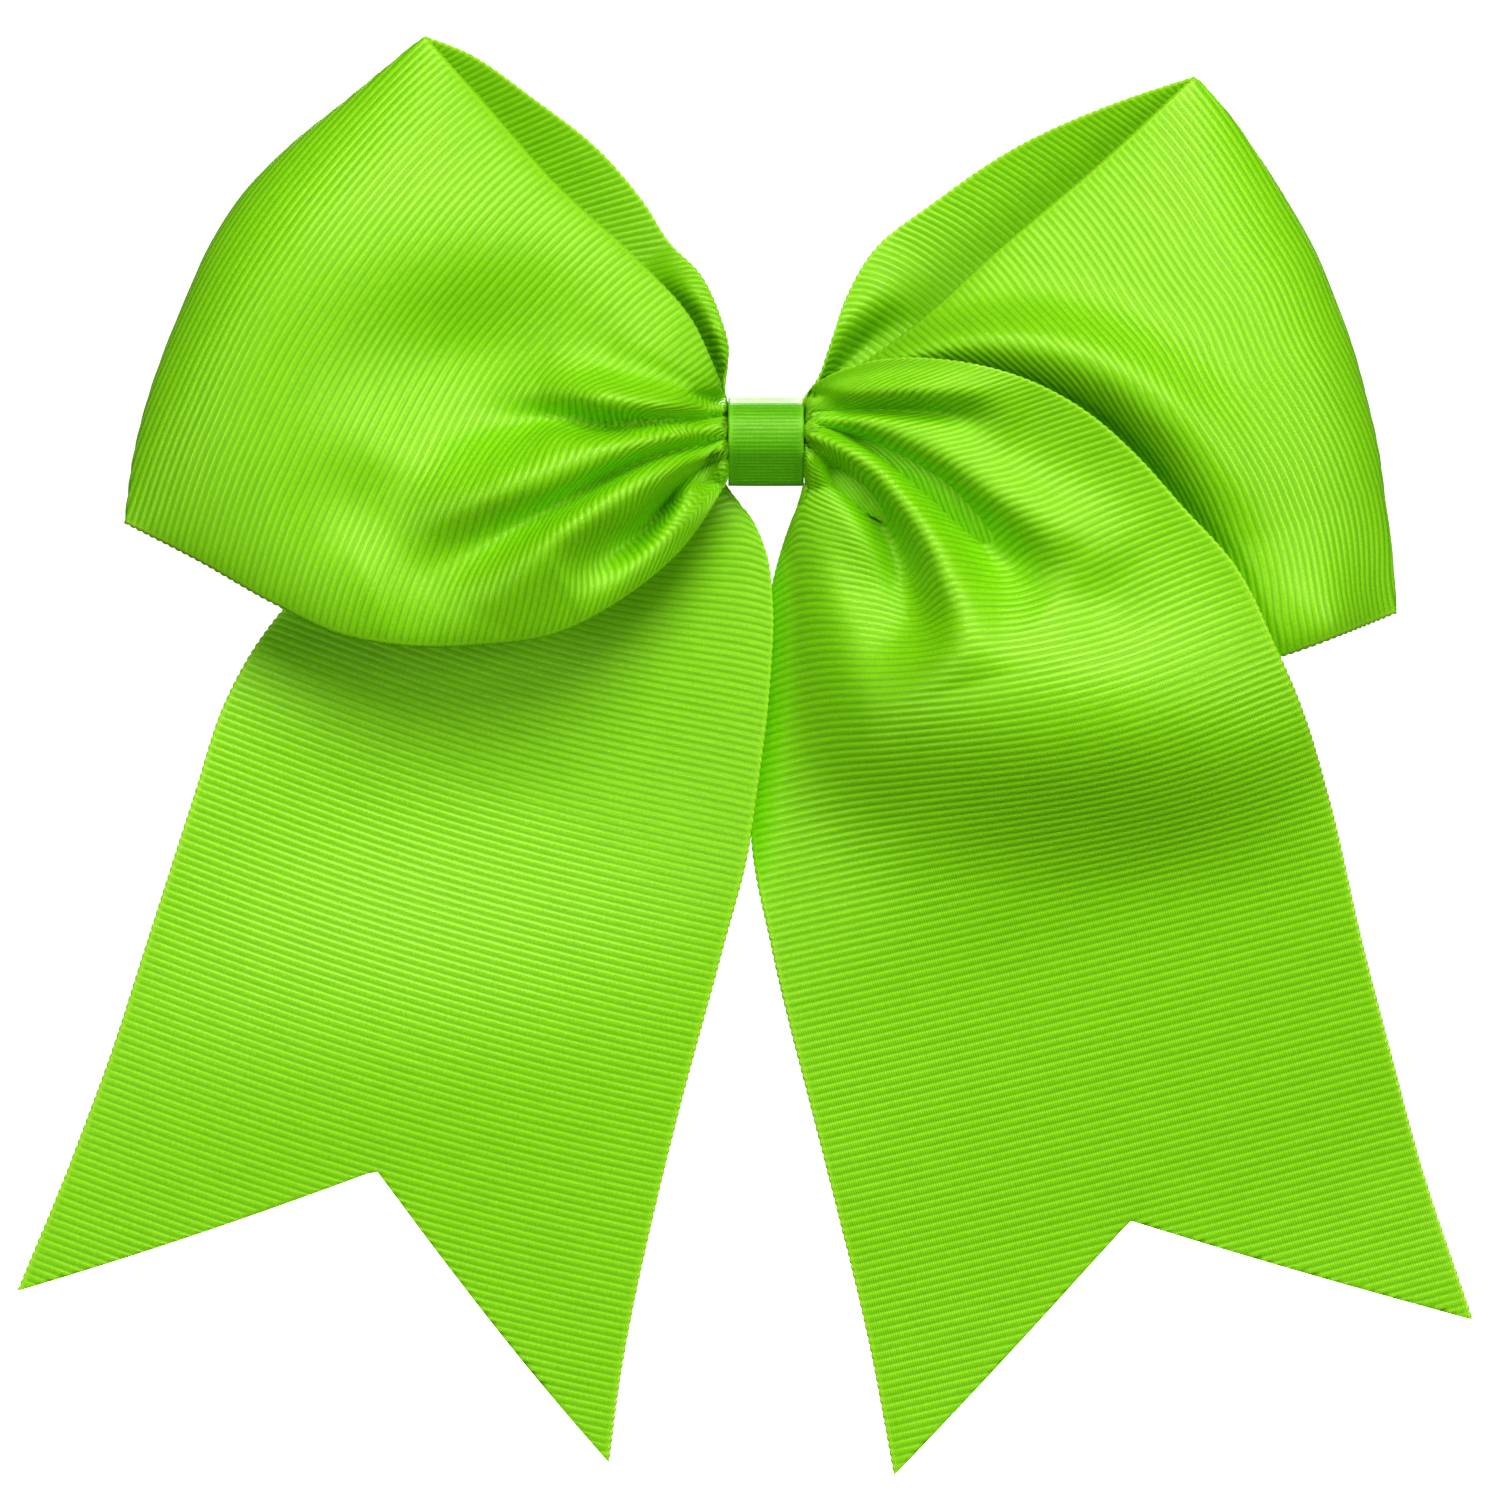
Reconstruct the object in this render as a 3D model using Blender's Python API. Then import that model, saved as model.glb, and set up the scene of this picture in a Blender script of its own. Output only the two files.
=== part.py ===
"""Cheer hair bow: one pleated length of 76 mm grosgrain ribbon, tied, wrapped and glued to an alligator clip.

The bow stands upright as it is worn: +Z up, its front faces -Y, and the hair is on its +Y side. Shapes are
drawn in millimetres from the middle of the tied waist. The finished model's origin is HAIR_FACE behind that,
on the face of the clip's arm that lies on the hair, and its unit is the metre.
"""

import math

import bmesh
import bpy
import numpy as np

# Driving dimensions, in millimetres.
RIBBON_THICKNESS = 0.6        # ribbon with its ribs
LEFT_PUFF = (9.0, 5.0)        # how far the left loop's front and back swell out
RIGHT_PUFF = (7.0, 4.5)       # the same for the right loop
SELVAGE_GAP = 0.5             # how far a loop's sides stand off along their selvages
PUFF_SHAPE = 0.8              # below 1, a puff is full nearly out to the selvages
FOLD_REACH = 16.0             # how far from its fold a loop reaches its full puff
FRONT_SWELL = (0.02, 0.5)     # share of a loop's length over which its front swells
BACK_SWELL = (0.3, 0.85)      # the same for its back
RIGHT_NOTCH = (0.49, 24.4)    # place across the tail, and depth, of the V cut in its end
LEFT_NOTCH = (0.506, 28.5)
WAIST_RADIUS = 4.2            # half height of the tied pleats
WAIST_HALF_LENGTH = 4.9
PLEATS = 9
PLEAT_DEPTH = 0.05            # share of the waist's radius
THREAD_TURNS = 3
THREAD_WIDTH = 2.4            # all the turns, side by side
THREAD_THICKNESS = 0.45
WRAP_WIDTH = 9.8              # 10 mm ribbon round the waist
WRAP_THICKNESS = 0.55
WRAP_HALF_HEIGHT = 5.85
TOUCHING = 0.3                # gap kept between pieces that touch
GLUE_THICKNESS = 0.7
STEEL = 0.6                   # sheet that the clip is pressed from
ARM_TIP, ARM_TAIL = -28.0, 20.0
ARM_HALF_WIDTH = 3.45
HAIR_FACE = 6.9               # the clip arm's back face
PIVOT = (12.0, 9.6)           # x and y of the hinge pin's axis
PIN_RADIUS = 0.9
PIN_CLEARANCE = 0.06
PIN_HEAD_RADIUS = 1.5
EAR_RADIUS = 1.9
EAR_FOOT = 2.5                # half length of an ear where it leaves the arm
JAW_HALF_WIDTH = 2.55
TOOTH_PITCH = 2.5
TEETH = 8
TOOTH_ROOT = 1.1              # height of the teeth's roots above the hair face
SPRING_WIRE = 0.7
SPRING_RADIUS = 1.75          # middle of the wire
SPRING_TURNS = 2.5
SPRING_PITCH = 0.84

COLUMNS = 13                  # points across the ribbon
LOOP_ROWS = 13                # points from the waist to a loop's fold
TAIL_ROWS = 20                # points from the waist to a tail's cut end
TAIL_CROWDING = 1.3           # above 1, a tail's rows lie closer together near the waist

LIME = (0.28, 0.74, 0.02)
WRAP_LIME = (0.22, 0.62, 0.03)
ACROSS = np.linspace(0.0, 1.0, COLUMNS)


def material(name, colour, roughness, metallic=0.0):
    made = bpy.data.materials.new(name)
    made.use_nodes = True
    shader = made.node_tree.nodes["Principled BSDF"]
    shader.inputs["Base Color"].default_value = (*colour, 1.0)
    shader.inputs["Roughness"].default_value = roughness
    shader.inputs["Metallic"].default_value = metallic
    return made


def place(point):
    """A drawn point in the finished model's frame."""
    return (point[0] * 0.001, (point[1] - HAIR_FACE) * 0.001, point[2] * 0.001)


def add_mesh(name, points, faces, finish, origin=(0.0, HAIR_FACE, 0.0)):
    """A mesh object from drawn points, with its own origin at the given drawn point."""
    mesh = bpy.data.meshes.new(name)
    offsets = (np.asarray(points, float) - origin) * 0.001
    mesh.from_pydata(offsets.tolist(), [], [list(face) for face in faces])
    shell = bmesh.new()
    shell.from_mesh(mesh)
    bmesh.ops.recalc_face_normals(shell, faces=shell.faces)
    shell.to_mesh(mesh)
    shell.free()
    mesh.materials.append(finish)
    made = bpy.data.objects.new(name, mesh)
    made.location = place(origin)
    bpy.context.scene.collection.objects.link(made)
    return made


def along(points, fractions):
    """Points at fractions of the length of one smooth curve through the given points."""
    knots = np.array(points, float)
    step = np.linalg.norm(np.diff(knots, axis=0), axis=1)
    start = np.concatenate([[0.0], np.cumsum(step)])
    slope = np.gradient(knots, start, axis=0)
    fine = np.linspace(0.0, start[-1], 40 * len(knots))
    i = np.clip(np.searchsorted(start, fine, side="right") - 1, 0, len(knots) - 2)
    h = step[i][:, None]
    f = (fine - start[i])[:, None] / h
    curve = (1 + 2 * f) * (1 - f) ** 2 * knots[i] + f * (1 - f) ** 2 * h * slope[i]
    curve += f * f * (3 - 2 * f) * knots[i + 1] + f * f * (f - 1) * h * slope[i + 1]
    run = np.concatenate([[0.0], np.cumsum(np.linalg.norm(np.diff(curve, axis=0), axis=1))])
    wanted = np.asarray(fractions) * run[-1]
    return np.stack([np.interp(wanted, run, column) for column in curve.T], axis=1)


def ease(value, start, end):
    """Rises smoothly from 0 at start to 1 at end."""
    f = np.clip((value - start) / (end - start), 0.0, 1.0)
    return f * f * (3 - 2 * f)


def between(low, high, out, across):
    """A grid of points: rows from the waist outwards, columns from the low selvage to the high one."""
    low, high = along(low, out), along(high, out)
    return low[:, None] * (1 - across)[None, :, None] + high[:, None] * across[None, :, None]


def loop_side(low, high, fold, puff, side):
    """One side of a loop, from the waist to the fold; side is -1 at the front and 1 at the back."""
    out = np.sin(np.linspace(0.0, math.pi / 2, LOOP_ROWS))
    grid = between(low, high, out, ACROSS)
    bulge = along(fold, ACROSS)
    grid[:, :, 0] += (bulge[:, 0] - grid[-1, :, 0]) * (out ** 2)[:, None]
    grid[:, :, 2] += (bulge[:, 1] - grid[-1, :, 2]) * (out ** 2)[:, None]
    length = np.linalg.norm(np.diff(grid, axis=0), axis=2).sum(axis=0)
    from_fold = np.clip((1 - out)[:, None] * length / FOLD_REACH, 0.0, 1.0)
    height = SELVAGE_GAP + puff * np.sin(math.pi * ACROSS) ** PUFF_SHAPE
    swell = ease(out, *(FRONT_SWELL if side < 0 else BACK_SWELL))
    grid[:, :, 1] += side * height * np.sqrt(1 - (1 - from_fold) ** 2) * swell[:, None]
    return grid


def tail_side(low, high, crown, notch):
    """A tail from the waist down to its V-notched end; notch is the place across and the depth of the V."""
    apex, depth = notch
    fine = between(low, high, np.linspace(0.0, 1.0, 200), ACROSS)
    fine[:, :, 1] += crown(fine[:, :, 2], ACROSS)
    run = np.zeros(fine.shape[:2])
    run[1:] = np.cumsum(np.linalg.norm(np.diff(fine, axis=0), axis=2), axis=0)
    cut = run[-1] - depth * np.minimum(ACROSS / apex, (1 - ACROSS) / (1 - apex))
    grid = np.empty((TAIL_ROWS, COLUMNS, 3))
    for column in range(COLUMNS):
        wanted = cut[column] * np.linspace(0.0, 1.0, TAIL_ROWS) ** TAIL_CROWDING
        for axis in range(3):
            grid[:, column, axis] = np.interp(wanted, run[:, column], fine[:, column, axis])
    return grid


def ribbon(name, grid, finish):
    """A closed ribbon of even thickness round a grid of points on its middle surface."""
    along_grid, across_grid = np.gradient(grid, axis=0), np.gradient(grid, axis=1)
    normal = np.cross(across_grid, along_grid)
    normal *= RIBBON_THICKNESS / 2 / np.linalg.norm(normal, axis=2, keepdims=True)
    points = np.concatenate([(grid + normal).reshape(-1, 3), (grid - normal).reshape(-1, 3)])
    rows, columns = grid.shape[:2]
    index = np.arange(rows * columns).reshape(rows, columns)
    quads = np.stack([index[:-1, :-1], index[:-1, 1:], index[1:, 1:], index[1:, :-1]], axis=2).reshape(-1, 4)
    rim = [*index[0, :-1], *index[:-1, -1], *index[-1, :0:-1], *index[:0:-1, 0]]
    faces = quads.tolist() + (quads[:, ::-1] + rows * columns).tolist()
    for here, there in zip(rim, rim[1:] + rim[:1]):
        faces.append([there, here, here + rows * columns, there + rows * columns])
    return add_mesh(name, points, faces, finish)


def left_loop(finish):
    """The loop on the bow's left as seen from the front: front side, rounded fold, back side."""
    front_low = [(-5.7, -3, -4.1), (-11.3, -5, -14.3), (-19.2, -7, -20.9), (-27.1, -8, -25.1), (-37.6, -7.5, -26.8),
                 (-48.2, -7, -26.8), (-55.4, -6.5, -25.5), (-64.6, -5, -21.3), (-74.5, -3, -15.7), (-84.3, -0.5, -10.7)]
    front_high = [(-5.7, -3, 4.1), (-6.6, -5.5, 8.7), (-10, -7.5, 15.9), (-16.6, -7, 23.2), (-27.1, -5.5, 33),
                  (-37.6, -3, 44.9), (-44.9, -0.5, 53.2)]
    back_low = [(-5.7, 0, -4.1), (-8, 1, -6), (-15, 2.2, -11.5), (-24, 3.5, -17.5), (-33, 4.5, -21), (-44, 5, -22.5),
                (-54, 4.5, -21.5), (-64, 3, -18.5), (-74, 1, -14), (-84.3, -0.5, -10.7)]
    back_high = [(-5.7, 0, 4.1), (-5.2, 0, 12), (-6, 0.2, 15.9), (-8.7, 1.5, 21.8), (-12.6, 2.6, 26), (-16.3, 3, 31.7),
                 (-22, 2.5, 38.3), (-30.4, 1.5, 44.9), (-40.1, 0, 51.4), (-44.9, -0.5, 53.2)]
    fold = [(-84.3, -10.7), (-82.9, -1.2), (-81.2, 5.4), (-78.9, 12), (-76.2, 18.6), (-73.3, 25.1), (-69.2, 31.7),
            (-63, 38.3), (-54.9, 44.9), (-44.9, 53.2)]
    front = loop_side(front_low, front_high, fold, LEFT_PUFF[0], -1)
    back = loop_side(back_low, back_high, fold, LEFT_PUFF[1], 1)
    return ribbon("left_loop", np.concatenate([front, back[-2::-1]]), finish)


def right_loop(finish):
    """The loop on the bow's right, behind the right tail."""
    front_low = [(5.7, 0, -4.1), (8, 0, -6), (18, 0, -12), (30, 0, -21), (42, 0, -28), (55, -1, -30.5),
                 (67, -2, -28.4), (75.5, -2, -25.4), (82.9, -0.5, -22.5)]
    front_high = [(5.7, 0, 4.1), (12, -2.5, 9.5), (17.6, -4, 13.3), (30.8, -4, 25.1), (43.9, -2.5, 36.3),
                  (56.4, -0.5, 47.9)]
    back_low = [(5.7, 3, -4.1), (8, 3.5, -5.5), (16, 4.5, -10.5), (28, 6, -18), (40, 7, -24), (52, 6.5, -26.5),
                (65, 4, -25), (74, 1, -23.5), (82.9, -0.5, -22.5)]
    back_high = [(5.7, 3, 4.1), (7.5, 3.4, 8), (8.3, 3.8, 12), (10.5, 4.5, 18.6), (14.2, 5, 25.1), (22.4, 5, 31.7),
                 (32.2, 3.8, 38.3), (47.2, 1, 44.9), (56.4, -0.5, 47.9)]
    fold = [(82.9, -22.5), (82.2, -14.3), (81.3, -7.8), (80.4, -1.2), (78.9, 5.4), (77.1, 12), (74.7, 18.6),
            (72, 25.1), (68.3, 31.7), (64.1, 38.3), (59.2, 44.9), (56.4, 47.9)]
    front = loop_side(front_low, front_high, fold, RIGHT_PUFF[0], -1)
    back = loop_side(back_low, back_high, fold, RIGHT_PUFF[1], 1)
    return ribbon("right_loop", np.concatenate([front, back[-2::-1]]), finish)


def right_tail(finish):
    """The tail that starts at the front of the waist and lies over the right loop."""
    inner = [(5.7, -3, -4.1), (5.5, -2, -6.6), (4.2, 0.5, -9), (2.1, 3.5, -14.3), (1.2, 5, -17.6), (-0.1, 6, -26.2),
             (-1.4, 6.3, -40.7), (-1.8, 6, -52.5), (0.9, 5.2, -67), (7.4, 5, -93.3), (13.8, 6, -119.6), (17, 6, -136.4)]
    outer = [(5.7, -3, 4.1), (8, -5, 8.2), (13.7, -8, 10.2), (24.2, -11, 10.2), (34.7, -14, 7.4), (41.3, -15, 3.8),
             (47.9, -15, -1.8), (54.5, -14, -9.1), (61, -12.5, -16.3), (67, -11, -28.2), (69.6, -9, -34.1),
             (73.9, -3, -47.2), (78.7, 1, -67), (82.2, 3, -80.1), (85.8, 5, -93.3), (93.3, 6, -115.9)]

    def crown(height, across):
        """How far the tail arches forward over the right loop."""
        over_loop = -6 * np.exp(-((height + 30) / 14) ** 2) * np.sin(math.pi * across) * ease(across, 0.0, 0.3)
        shoulder = ease(-height, 2, 14) * (1 - ease(-height, 40, 60))
        return over_loop - 2 * shoulder * np.sin(math.pi * across)

    return ribbon("right_tail", tail_side(inner, outer, crown, RIGHT_NOTCH), finish)


def left_tail(finish):
    """The tail that starts at the back of the waist and hangs behind the left loop."""
    outer = [(-5.7, 3, 4.1), (-12, 3.8, 2), (-24, 4.8, -1.5), (-38, 7.5, -5.5), (-52, 9.8, -12), (-62, 10.4, -20),
             (-67.9, 10.5, -27.5), (-71.4, 9.5, -34.1), (-75.7, 8, -47.2), (-82, 6.5, -67), (-86.2, 6, -80.1),
             (-91.1, 6, -93.3), (-98.8, 6, -112.1)]
    inner = [(-5.7, 3, -4.1), (-5.5, 3, -6.6), (-2.8, 3, -9), (-0.1, 2.2, -14.3), (0.8, 2, -20.9), (0.5, 2, -31.4),
             (-1.4, 2.3, -47.2), (-2.4, 2.5, -53.8), (-5.8, 3.3, -67), (-12.8, 4.5, -93.3), (-19.7, 5.5, -126.2),
             (-20.8, 5.5, -134.7)]

    def crown(height, across):
        """How far the tail is pressed back by the left loop, and comes forward again below it."""
        middle = np.sin(math.pi * across)
        return middle * (4 * np.exp(-((height + 20) / 12) ** 2) - 3 * np.exp(-((height + 58) / 16) ** 2))

    return ribbon("left_tail", tail_side(outer, inner, crown, LEFT_NOTCH), finish)


def prism(name, outline, low, high, finish, axis=2, origin=(0.0, HAIR_FACE, 0.0)):
    """A closed outline pushed from low to high along an axis: 0 is X, 1 is Y and 2 is Z."""
    count = len(outline)
    points = [np.insert(np.array(corner, float), axis, level) for level in (low, high) for corner in outline]
    faces = [list(range(count - 1, -1, -1)), list(range(count, 2 * count))]
    for i in range(count):
        j = (i + 1) % count
        faces.append([i, j, j + count, i + count])
    return add_mesh(name, points, faces, finish, origin)


def tube(name, outer, inner, low, high, finish):
    """A ring between two (y, z) outlines with the same number of corners, pushed along X."""
    count = len(outer)
    points = [(level, y, z) for level in (low, high) for ring in (outer, inner) for y, z in ring]
    faces = []
    for i in range(count):
        j = (i + 1) % count
        for a, b in ((0, 2), (2, 3), (3, 1), (1, 0)):
            faces.append([a * count + i, a * count + j, b * count + j, b * count + i])
    return add_mesh(name, points, faces, finish)


def circle(centre, radius, count):
    angles = 2 * math.pi * np.arange(count) / count
    return [(centre[0] + radius * math.cos(a), centre[1] + radius * math.sin(a)) for a in angles]


def cut(target, cutter, operation="DIFFERENCE"):
    """Cuts one object from another, or joins it on, and leaves the cutter out of the model."""
    boolean = target.modifiers.new(cutter.name, "BOOLEAN")
    boolean.operation = operation
    boolean.object = cutter
    cutter.hide_render = True
    cutter.display_type = "WIRE"


def gathered_waist(finish):
    """The stretch of ribbon under the wrap: its three layers, folded into one bundle of pleats."""
    corners = 54
    outline = []
    for i in range(corners):
        angle = 2 * math.pi * i / corners
        radius = WAIST_RADIUS * (1 - PLEAT_DEPTH + PLEAT_DEPTH * math.cos(PLEATS * angle))
        outline.append((radius * math.cos(angle), radius * math.sin(angle)))
    return prism("gathered_waist", outline, -WAIST_HALF_LENGTH, WAIST_HALF_LENGTH, finish, axis=0)


def gather_thread(finish):
    """The turns of thread, pulled tight round the pleats; the turns are joined where they touch."""
    inside = WAIST_RADIUS + TOUCHING
    turn = THREAD_WIDTH / THREAD_TURNS
    profile = [(-THREAD_WIDTH / 2, inside)]
    for i in range(THREAD_TURNS):
        middle = -THREAD_WIDTH / 2 + (i + 0.5) * turn
        for angle in (150, 110, 70, 30):
            across = turn / 2 * math.cos(math.radians(angle))
            profile.append((middle + across, inside + THREAD_THICKNESS * math.sin(math.radians(angle))))
    profile.append((THREAD_WIDTH / 2, inside))
    sides, count = 32, len(profile)
    points, faces = [], []
    for i in range(sides):
        angle = 2 * math.pi * i / sides
        points += [(x, radius * math.cos(angle), radius * math.sin(angle)) for x, radius in profile]
        following = (i + 1) % sides
        for k in range(count):
            m = (k + 1) % count
            faces.append([i * count + k, i * count + m, following * count + m, following * count + k])
    return add_mesh("gather_thread", points, faces, finish)


def wrap_outline(inset):
    """(y, z) round the waist and the clip's arm: a belt over one large circle and two small ones."""
    circles = [(0.0, 0.0, WRAP_HALF_HEIGHT), (6.05, -3.4, 1.8), (6.05, 3.4, 1.8)]
    outline = []
    for i in range(48):
        ny, nz = math.cos(2 * math.pi * i / 48), math.sin(2 * math.pi * i / 48)
        y, z, radius = max(circles, key=lambda c: c[0] * ny + c[1] * nz + c[2])
        outline.append((y + (radius - inset) * ny, z + (radius - inset) * nz))
    return outline


def centre_wrap(finish):
    """The narrow ribbon wound round the waist and the clip's arm, with its end lapped and glued behind."""
    outer, inner = wrap_outline(0.0), wrap_outline(WRAP_THICKNESS)
    return tube("centre_wrap", outer, inner, -WRAP_WIDTH / 2, WRAP_WIDTH / 2, finish)


def glue_pad(finish):
    """The pad of hot-melt glue between the waist and the clip's arm."""
    back = HAIR_FACE - STEEL - TOUCHING
    corners = [(-4.4, -2.0), (-3.6, -2.8), (3.6, -2.8), (4.4, -2.0), (4.4, 2.0), (3.6, 2.8), (-3.6, 2.8), (-4.4, 2.0)]
    return prism("glue_pad", corners, back - GLUE_THICKNESS, back, finish, axis=1)


def clip_arm(finish):
    """The clip's flat arm, glued to the bow, with two ears turned up to hold the pin."""
    tip = [(ARM_TIP + ARM_HALF_WIDTH * (1 - math.cos(a)), ARM_HALF_WIDTH * math.sin(a))
           for a in np.linspace(math.pi / 2, -math.pi / 2, 9)]
    outline = tip + [(ARM_TAIL - 1, -ARM_HALF_WIDTH), (ARM_TAIL, 1 - ARM_HALF_WIDTH), (ARM_TAIL, ARM_HALF_WIDTH - 1),
                     (ARM_TAIL - 1, ARM_HALF_WIDTH)]
    arm = prism("clip_arm", outline, HAIR_FACE - STEEL, HAIR_FACE, finish, axis=1)
    x, y = PIVOT
    round_top = [(x + EAR_RADIUS * math.cos(a), y + EAR_RADIUS * math.sin(a)) for a in np.linspace(0, math.pi, 13)]
    ear = [(x + EAR_FOOT, HAIR_FACE - STEEL / 2)] + round_top + [(x - EAR_FOOT, HAIR_FACE - STEEL / 2)]
    for side, low in (("front", -ARM_HALF_WIDTH), ("back", ARM_HALF_WIDTH - STEEL)):
        cut(arm, prism("arm_ear_" + side, ear, low, low + STEEL, finish), "UNION")
    hole = circle(PIVOT, PIN_RADIUS + PIN_CLEARANCE, 24)
    cut(arm, prism("arm_pin_hole", hole, -ARM_HALF_WIDTH - 1, ARM_HALF_WIDTH + 1, finish))
    return arm


def jaw_line(offset):
    """(x, y) along the jaw's back, from its tip to its thumb end, moved sideways by an offset."""
    line = along([(-27.5, 8.3), (-18, 9.0), (-5, 10.1), (6, 11.6), (12, 12.5), (17, 13.5), (22, 14.9)],
                 np.linspace(0, 1, 15))
    direction = np.gradient(line, axis=0)
    direction /= np.linalg.norm(direction, axis=1, keepdims=True)
    return line + offset * np.stack([-direction[:, 1], direction[:, 0]], axis=1)


def clip_jaw(finish):
    """The clip's sprung jaw: an arched channel with teeth along both flanges and ears round the pin."""
    x, y = PIVOT
    back = jaw_line(STEEL / 2)
    under = jaw_line(-STEEL / 2)
    edge = [tuple(under[-1]), (x + 4.6, under[-4][1] - 0.1)]
    edge += [(x + EAR_RADIUS * math.cos(a), y + EAR_RADIUS * math.sin(a)) for a in np.linspace(0, -math.pi, 13)]
    edge += [(7.5, 8.9), (-6.0, 8.5)]
    tooth_tip, tooth_root = HAIR_FACE + TOUCHING, HAIR_FACE + TOOTH_ROOT
    for i in range(TEETH):
        right = -7.0 - i * TOOTH_PITCH
        edge += [(right, tooth_root), (right - TOOTH_PITCH / 2, tooth_tip)]
    edge.append((-27.5, tooth_root))
    profile = edge + [tuple(point) for point in back]
    pivot = (x, y, 0.0)
    jaw = prism("clip_jaw", profile, -JAW_HALF_WIDTH, JAW_HALF_WIDTH, finish, origin=pivot)
    channel = [tuple(point) for point in under[1:]] + [(25, under[-1][1] - 0.1), (25, 0), (under[1][0], 0)]
    inside = JAW_HALF_WIDTH - STEEL
    cut(jaw, prism("jaw_channel", channel, -inside, inside, finish))
    hole = circle(PIVOT, PIN_RADIUS + PIN_CLEARANCE, 24)
    cut(jaw, prism("jaw_pin_hole", hole, -JAW_HALF_WIDTH - 1, JAW_HALF_WIDTH + 1, finish))
    return jaw


def clip_pin(finish):
    """The rivet that both parts of the clip turn on."""
    under_head = ARM_HALF_WIDTH + TOUCHING
    half = [(PIN_RADIUS, under_head), (PIN_HEAD_RADIUS, under_head), (PIN_HEAD_RADIUS, under_head + 0.3),
            (PIN_HEAD_RADIUS - 0.5, under_head + 0.6)]
    profile = [(radius, -height) for radius, height in half[::-1]] + half
    sides, count = 24, len(profile)
    points, faces = [], []
    for i in range(sides):
        angle = 2 * math.pi * i / sides
        for radius, height in profile:
            points.append((PIVOT[0] + radius * math.cos(angle), PIVOT[1] + radius * math.sin(angle), height))
        following = (i + 1) % sides
        for k in range(count - 1):
            faces.append([i * count + k, following * count + k, following * count + k + 1, i * count + k + 1])
    faces.append([i * count for i in range(sides - 1, -1, -1)])
    faces.append([i * count + count - 1 for i in range(sides)])
    return add_mesh("clip_pin", points, faces, finish)


def clip_spring(finish):
    """The torsion spring round the pin; one leg lies on the arm and the other lifts the thumb end."""
    x, y = PIVOT
    half_length = SPRING_TURNS * SPRING_PITCH / 2
    steps = int(SPRING_TURNS * 14)
    route = [(18.5, y - SPRING_RADIUS, -half_length), (15.0, y - SPRING_RADIUS, -half_length)]
    for i in range(steps + 1):
        angle = -math.pi / 2 - 2 * math.pi * SPRING_TURNS * i / steps
        height = -half_length + 2 * half_length * i / steps
        route.append((x + SPRING_RADIUS * math.cos(angle), y + SPRING_RADIUS * math.sin(angle), height))
    route += [(15.0, y + SPRING_RADIUS + 0.65, half_length), (17.5, y + SPRING_RADIUS + 1.2, half_length)]
    curve = bpy.data.curves.new("clip_spring", "CURVE")
    curve.dimensions = "3D"
    curve.bevel_depth = SPRING_WIRE / 2 * 0.001
    curve.bevel_resolution = 2
    curve.use_fill_caps = True
    spline = curve.splines.new("POLY")
    spline.points.add(len(route) - 1)
    for point, drawn in zip(spline.points, route):
        point.co = (*place(drawn), 1.0)
    curve.materials.append(finish)
    made = bpy.data.objects.new("clip_spring", curve)
    bpy.context.scene.collection.objects.link(made)
    return made


for old in list(bpy.data.objects):
    bpy.data.objects.remove(old)

grosgrain = material("lime_grosgrain", LIME, 0.55)
narrow_grosgrain = material("narrow_grosgrain", WRAP_LIME, 0.55)
thread = material("polyester_thread", (0.25, 0.6, 0.05), 0.6)
hot_glue = material("hot_melt_glue", (0.85, 0.83, 0.75), 0.35)
nickel = material("nickel_plated_steel", (0.72, 0.71, 0.69), 0.28, 1.0)
spring_steel = material("spring_steel", (0.5, 0.5, 0.52), 0.35, 1.0)

left_loop(grosgrain)
right_loop(grosgrain)
left_tail(grosgrain)
right_tail(grosgrain)
gathered_waist(grosgrain)
gather_thread(thread)
centre_wrap(narrow_grosgrain)
glue_pad(hot_glue)
clip_arm(nickel)
clip_jaw(nickel)
clip_pin(nickel)
clip_spring(spring_steel)
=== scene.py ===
import math

import bmesh
import bpy
import numpy as np
from mathutils import Matrix, Vector


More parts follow.
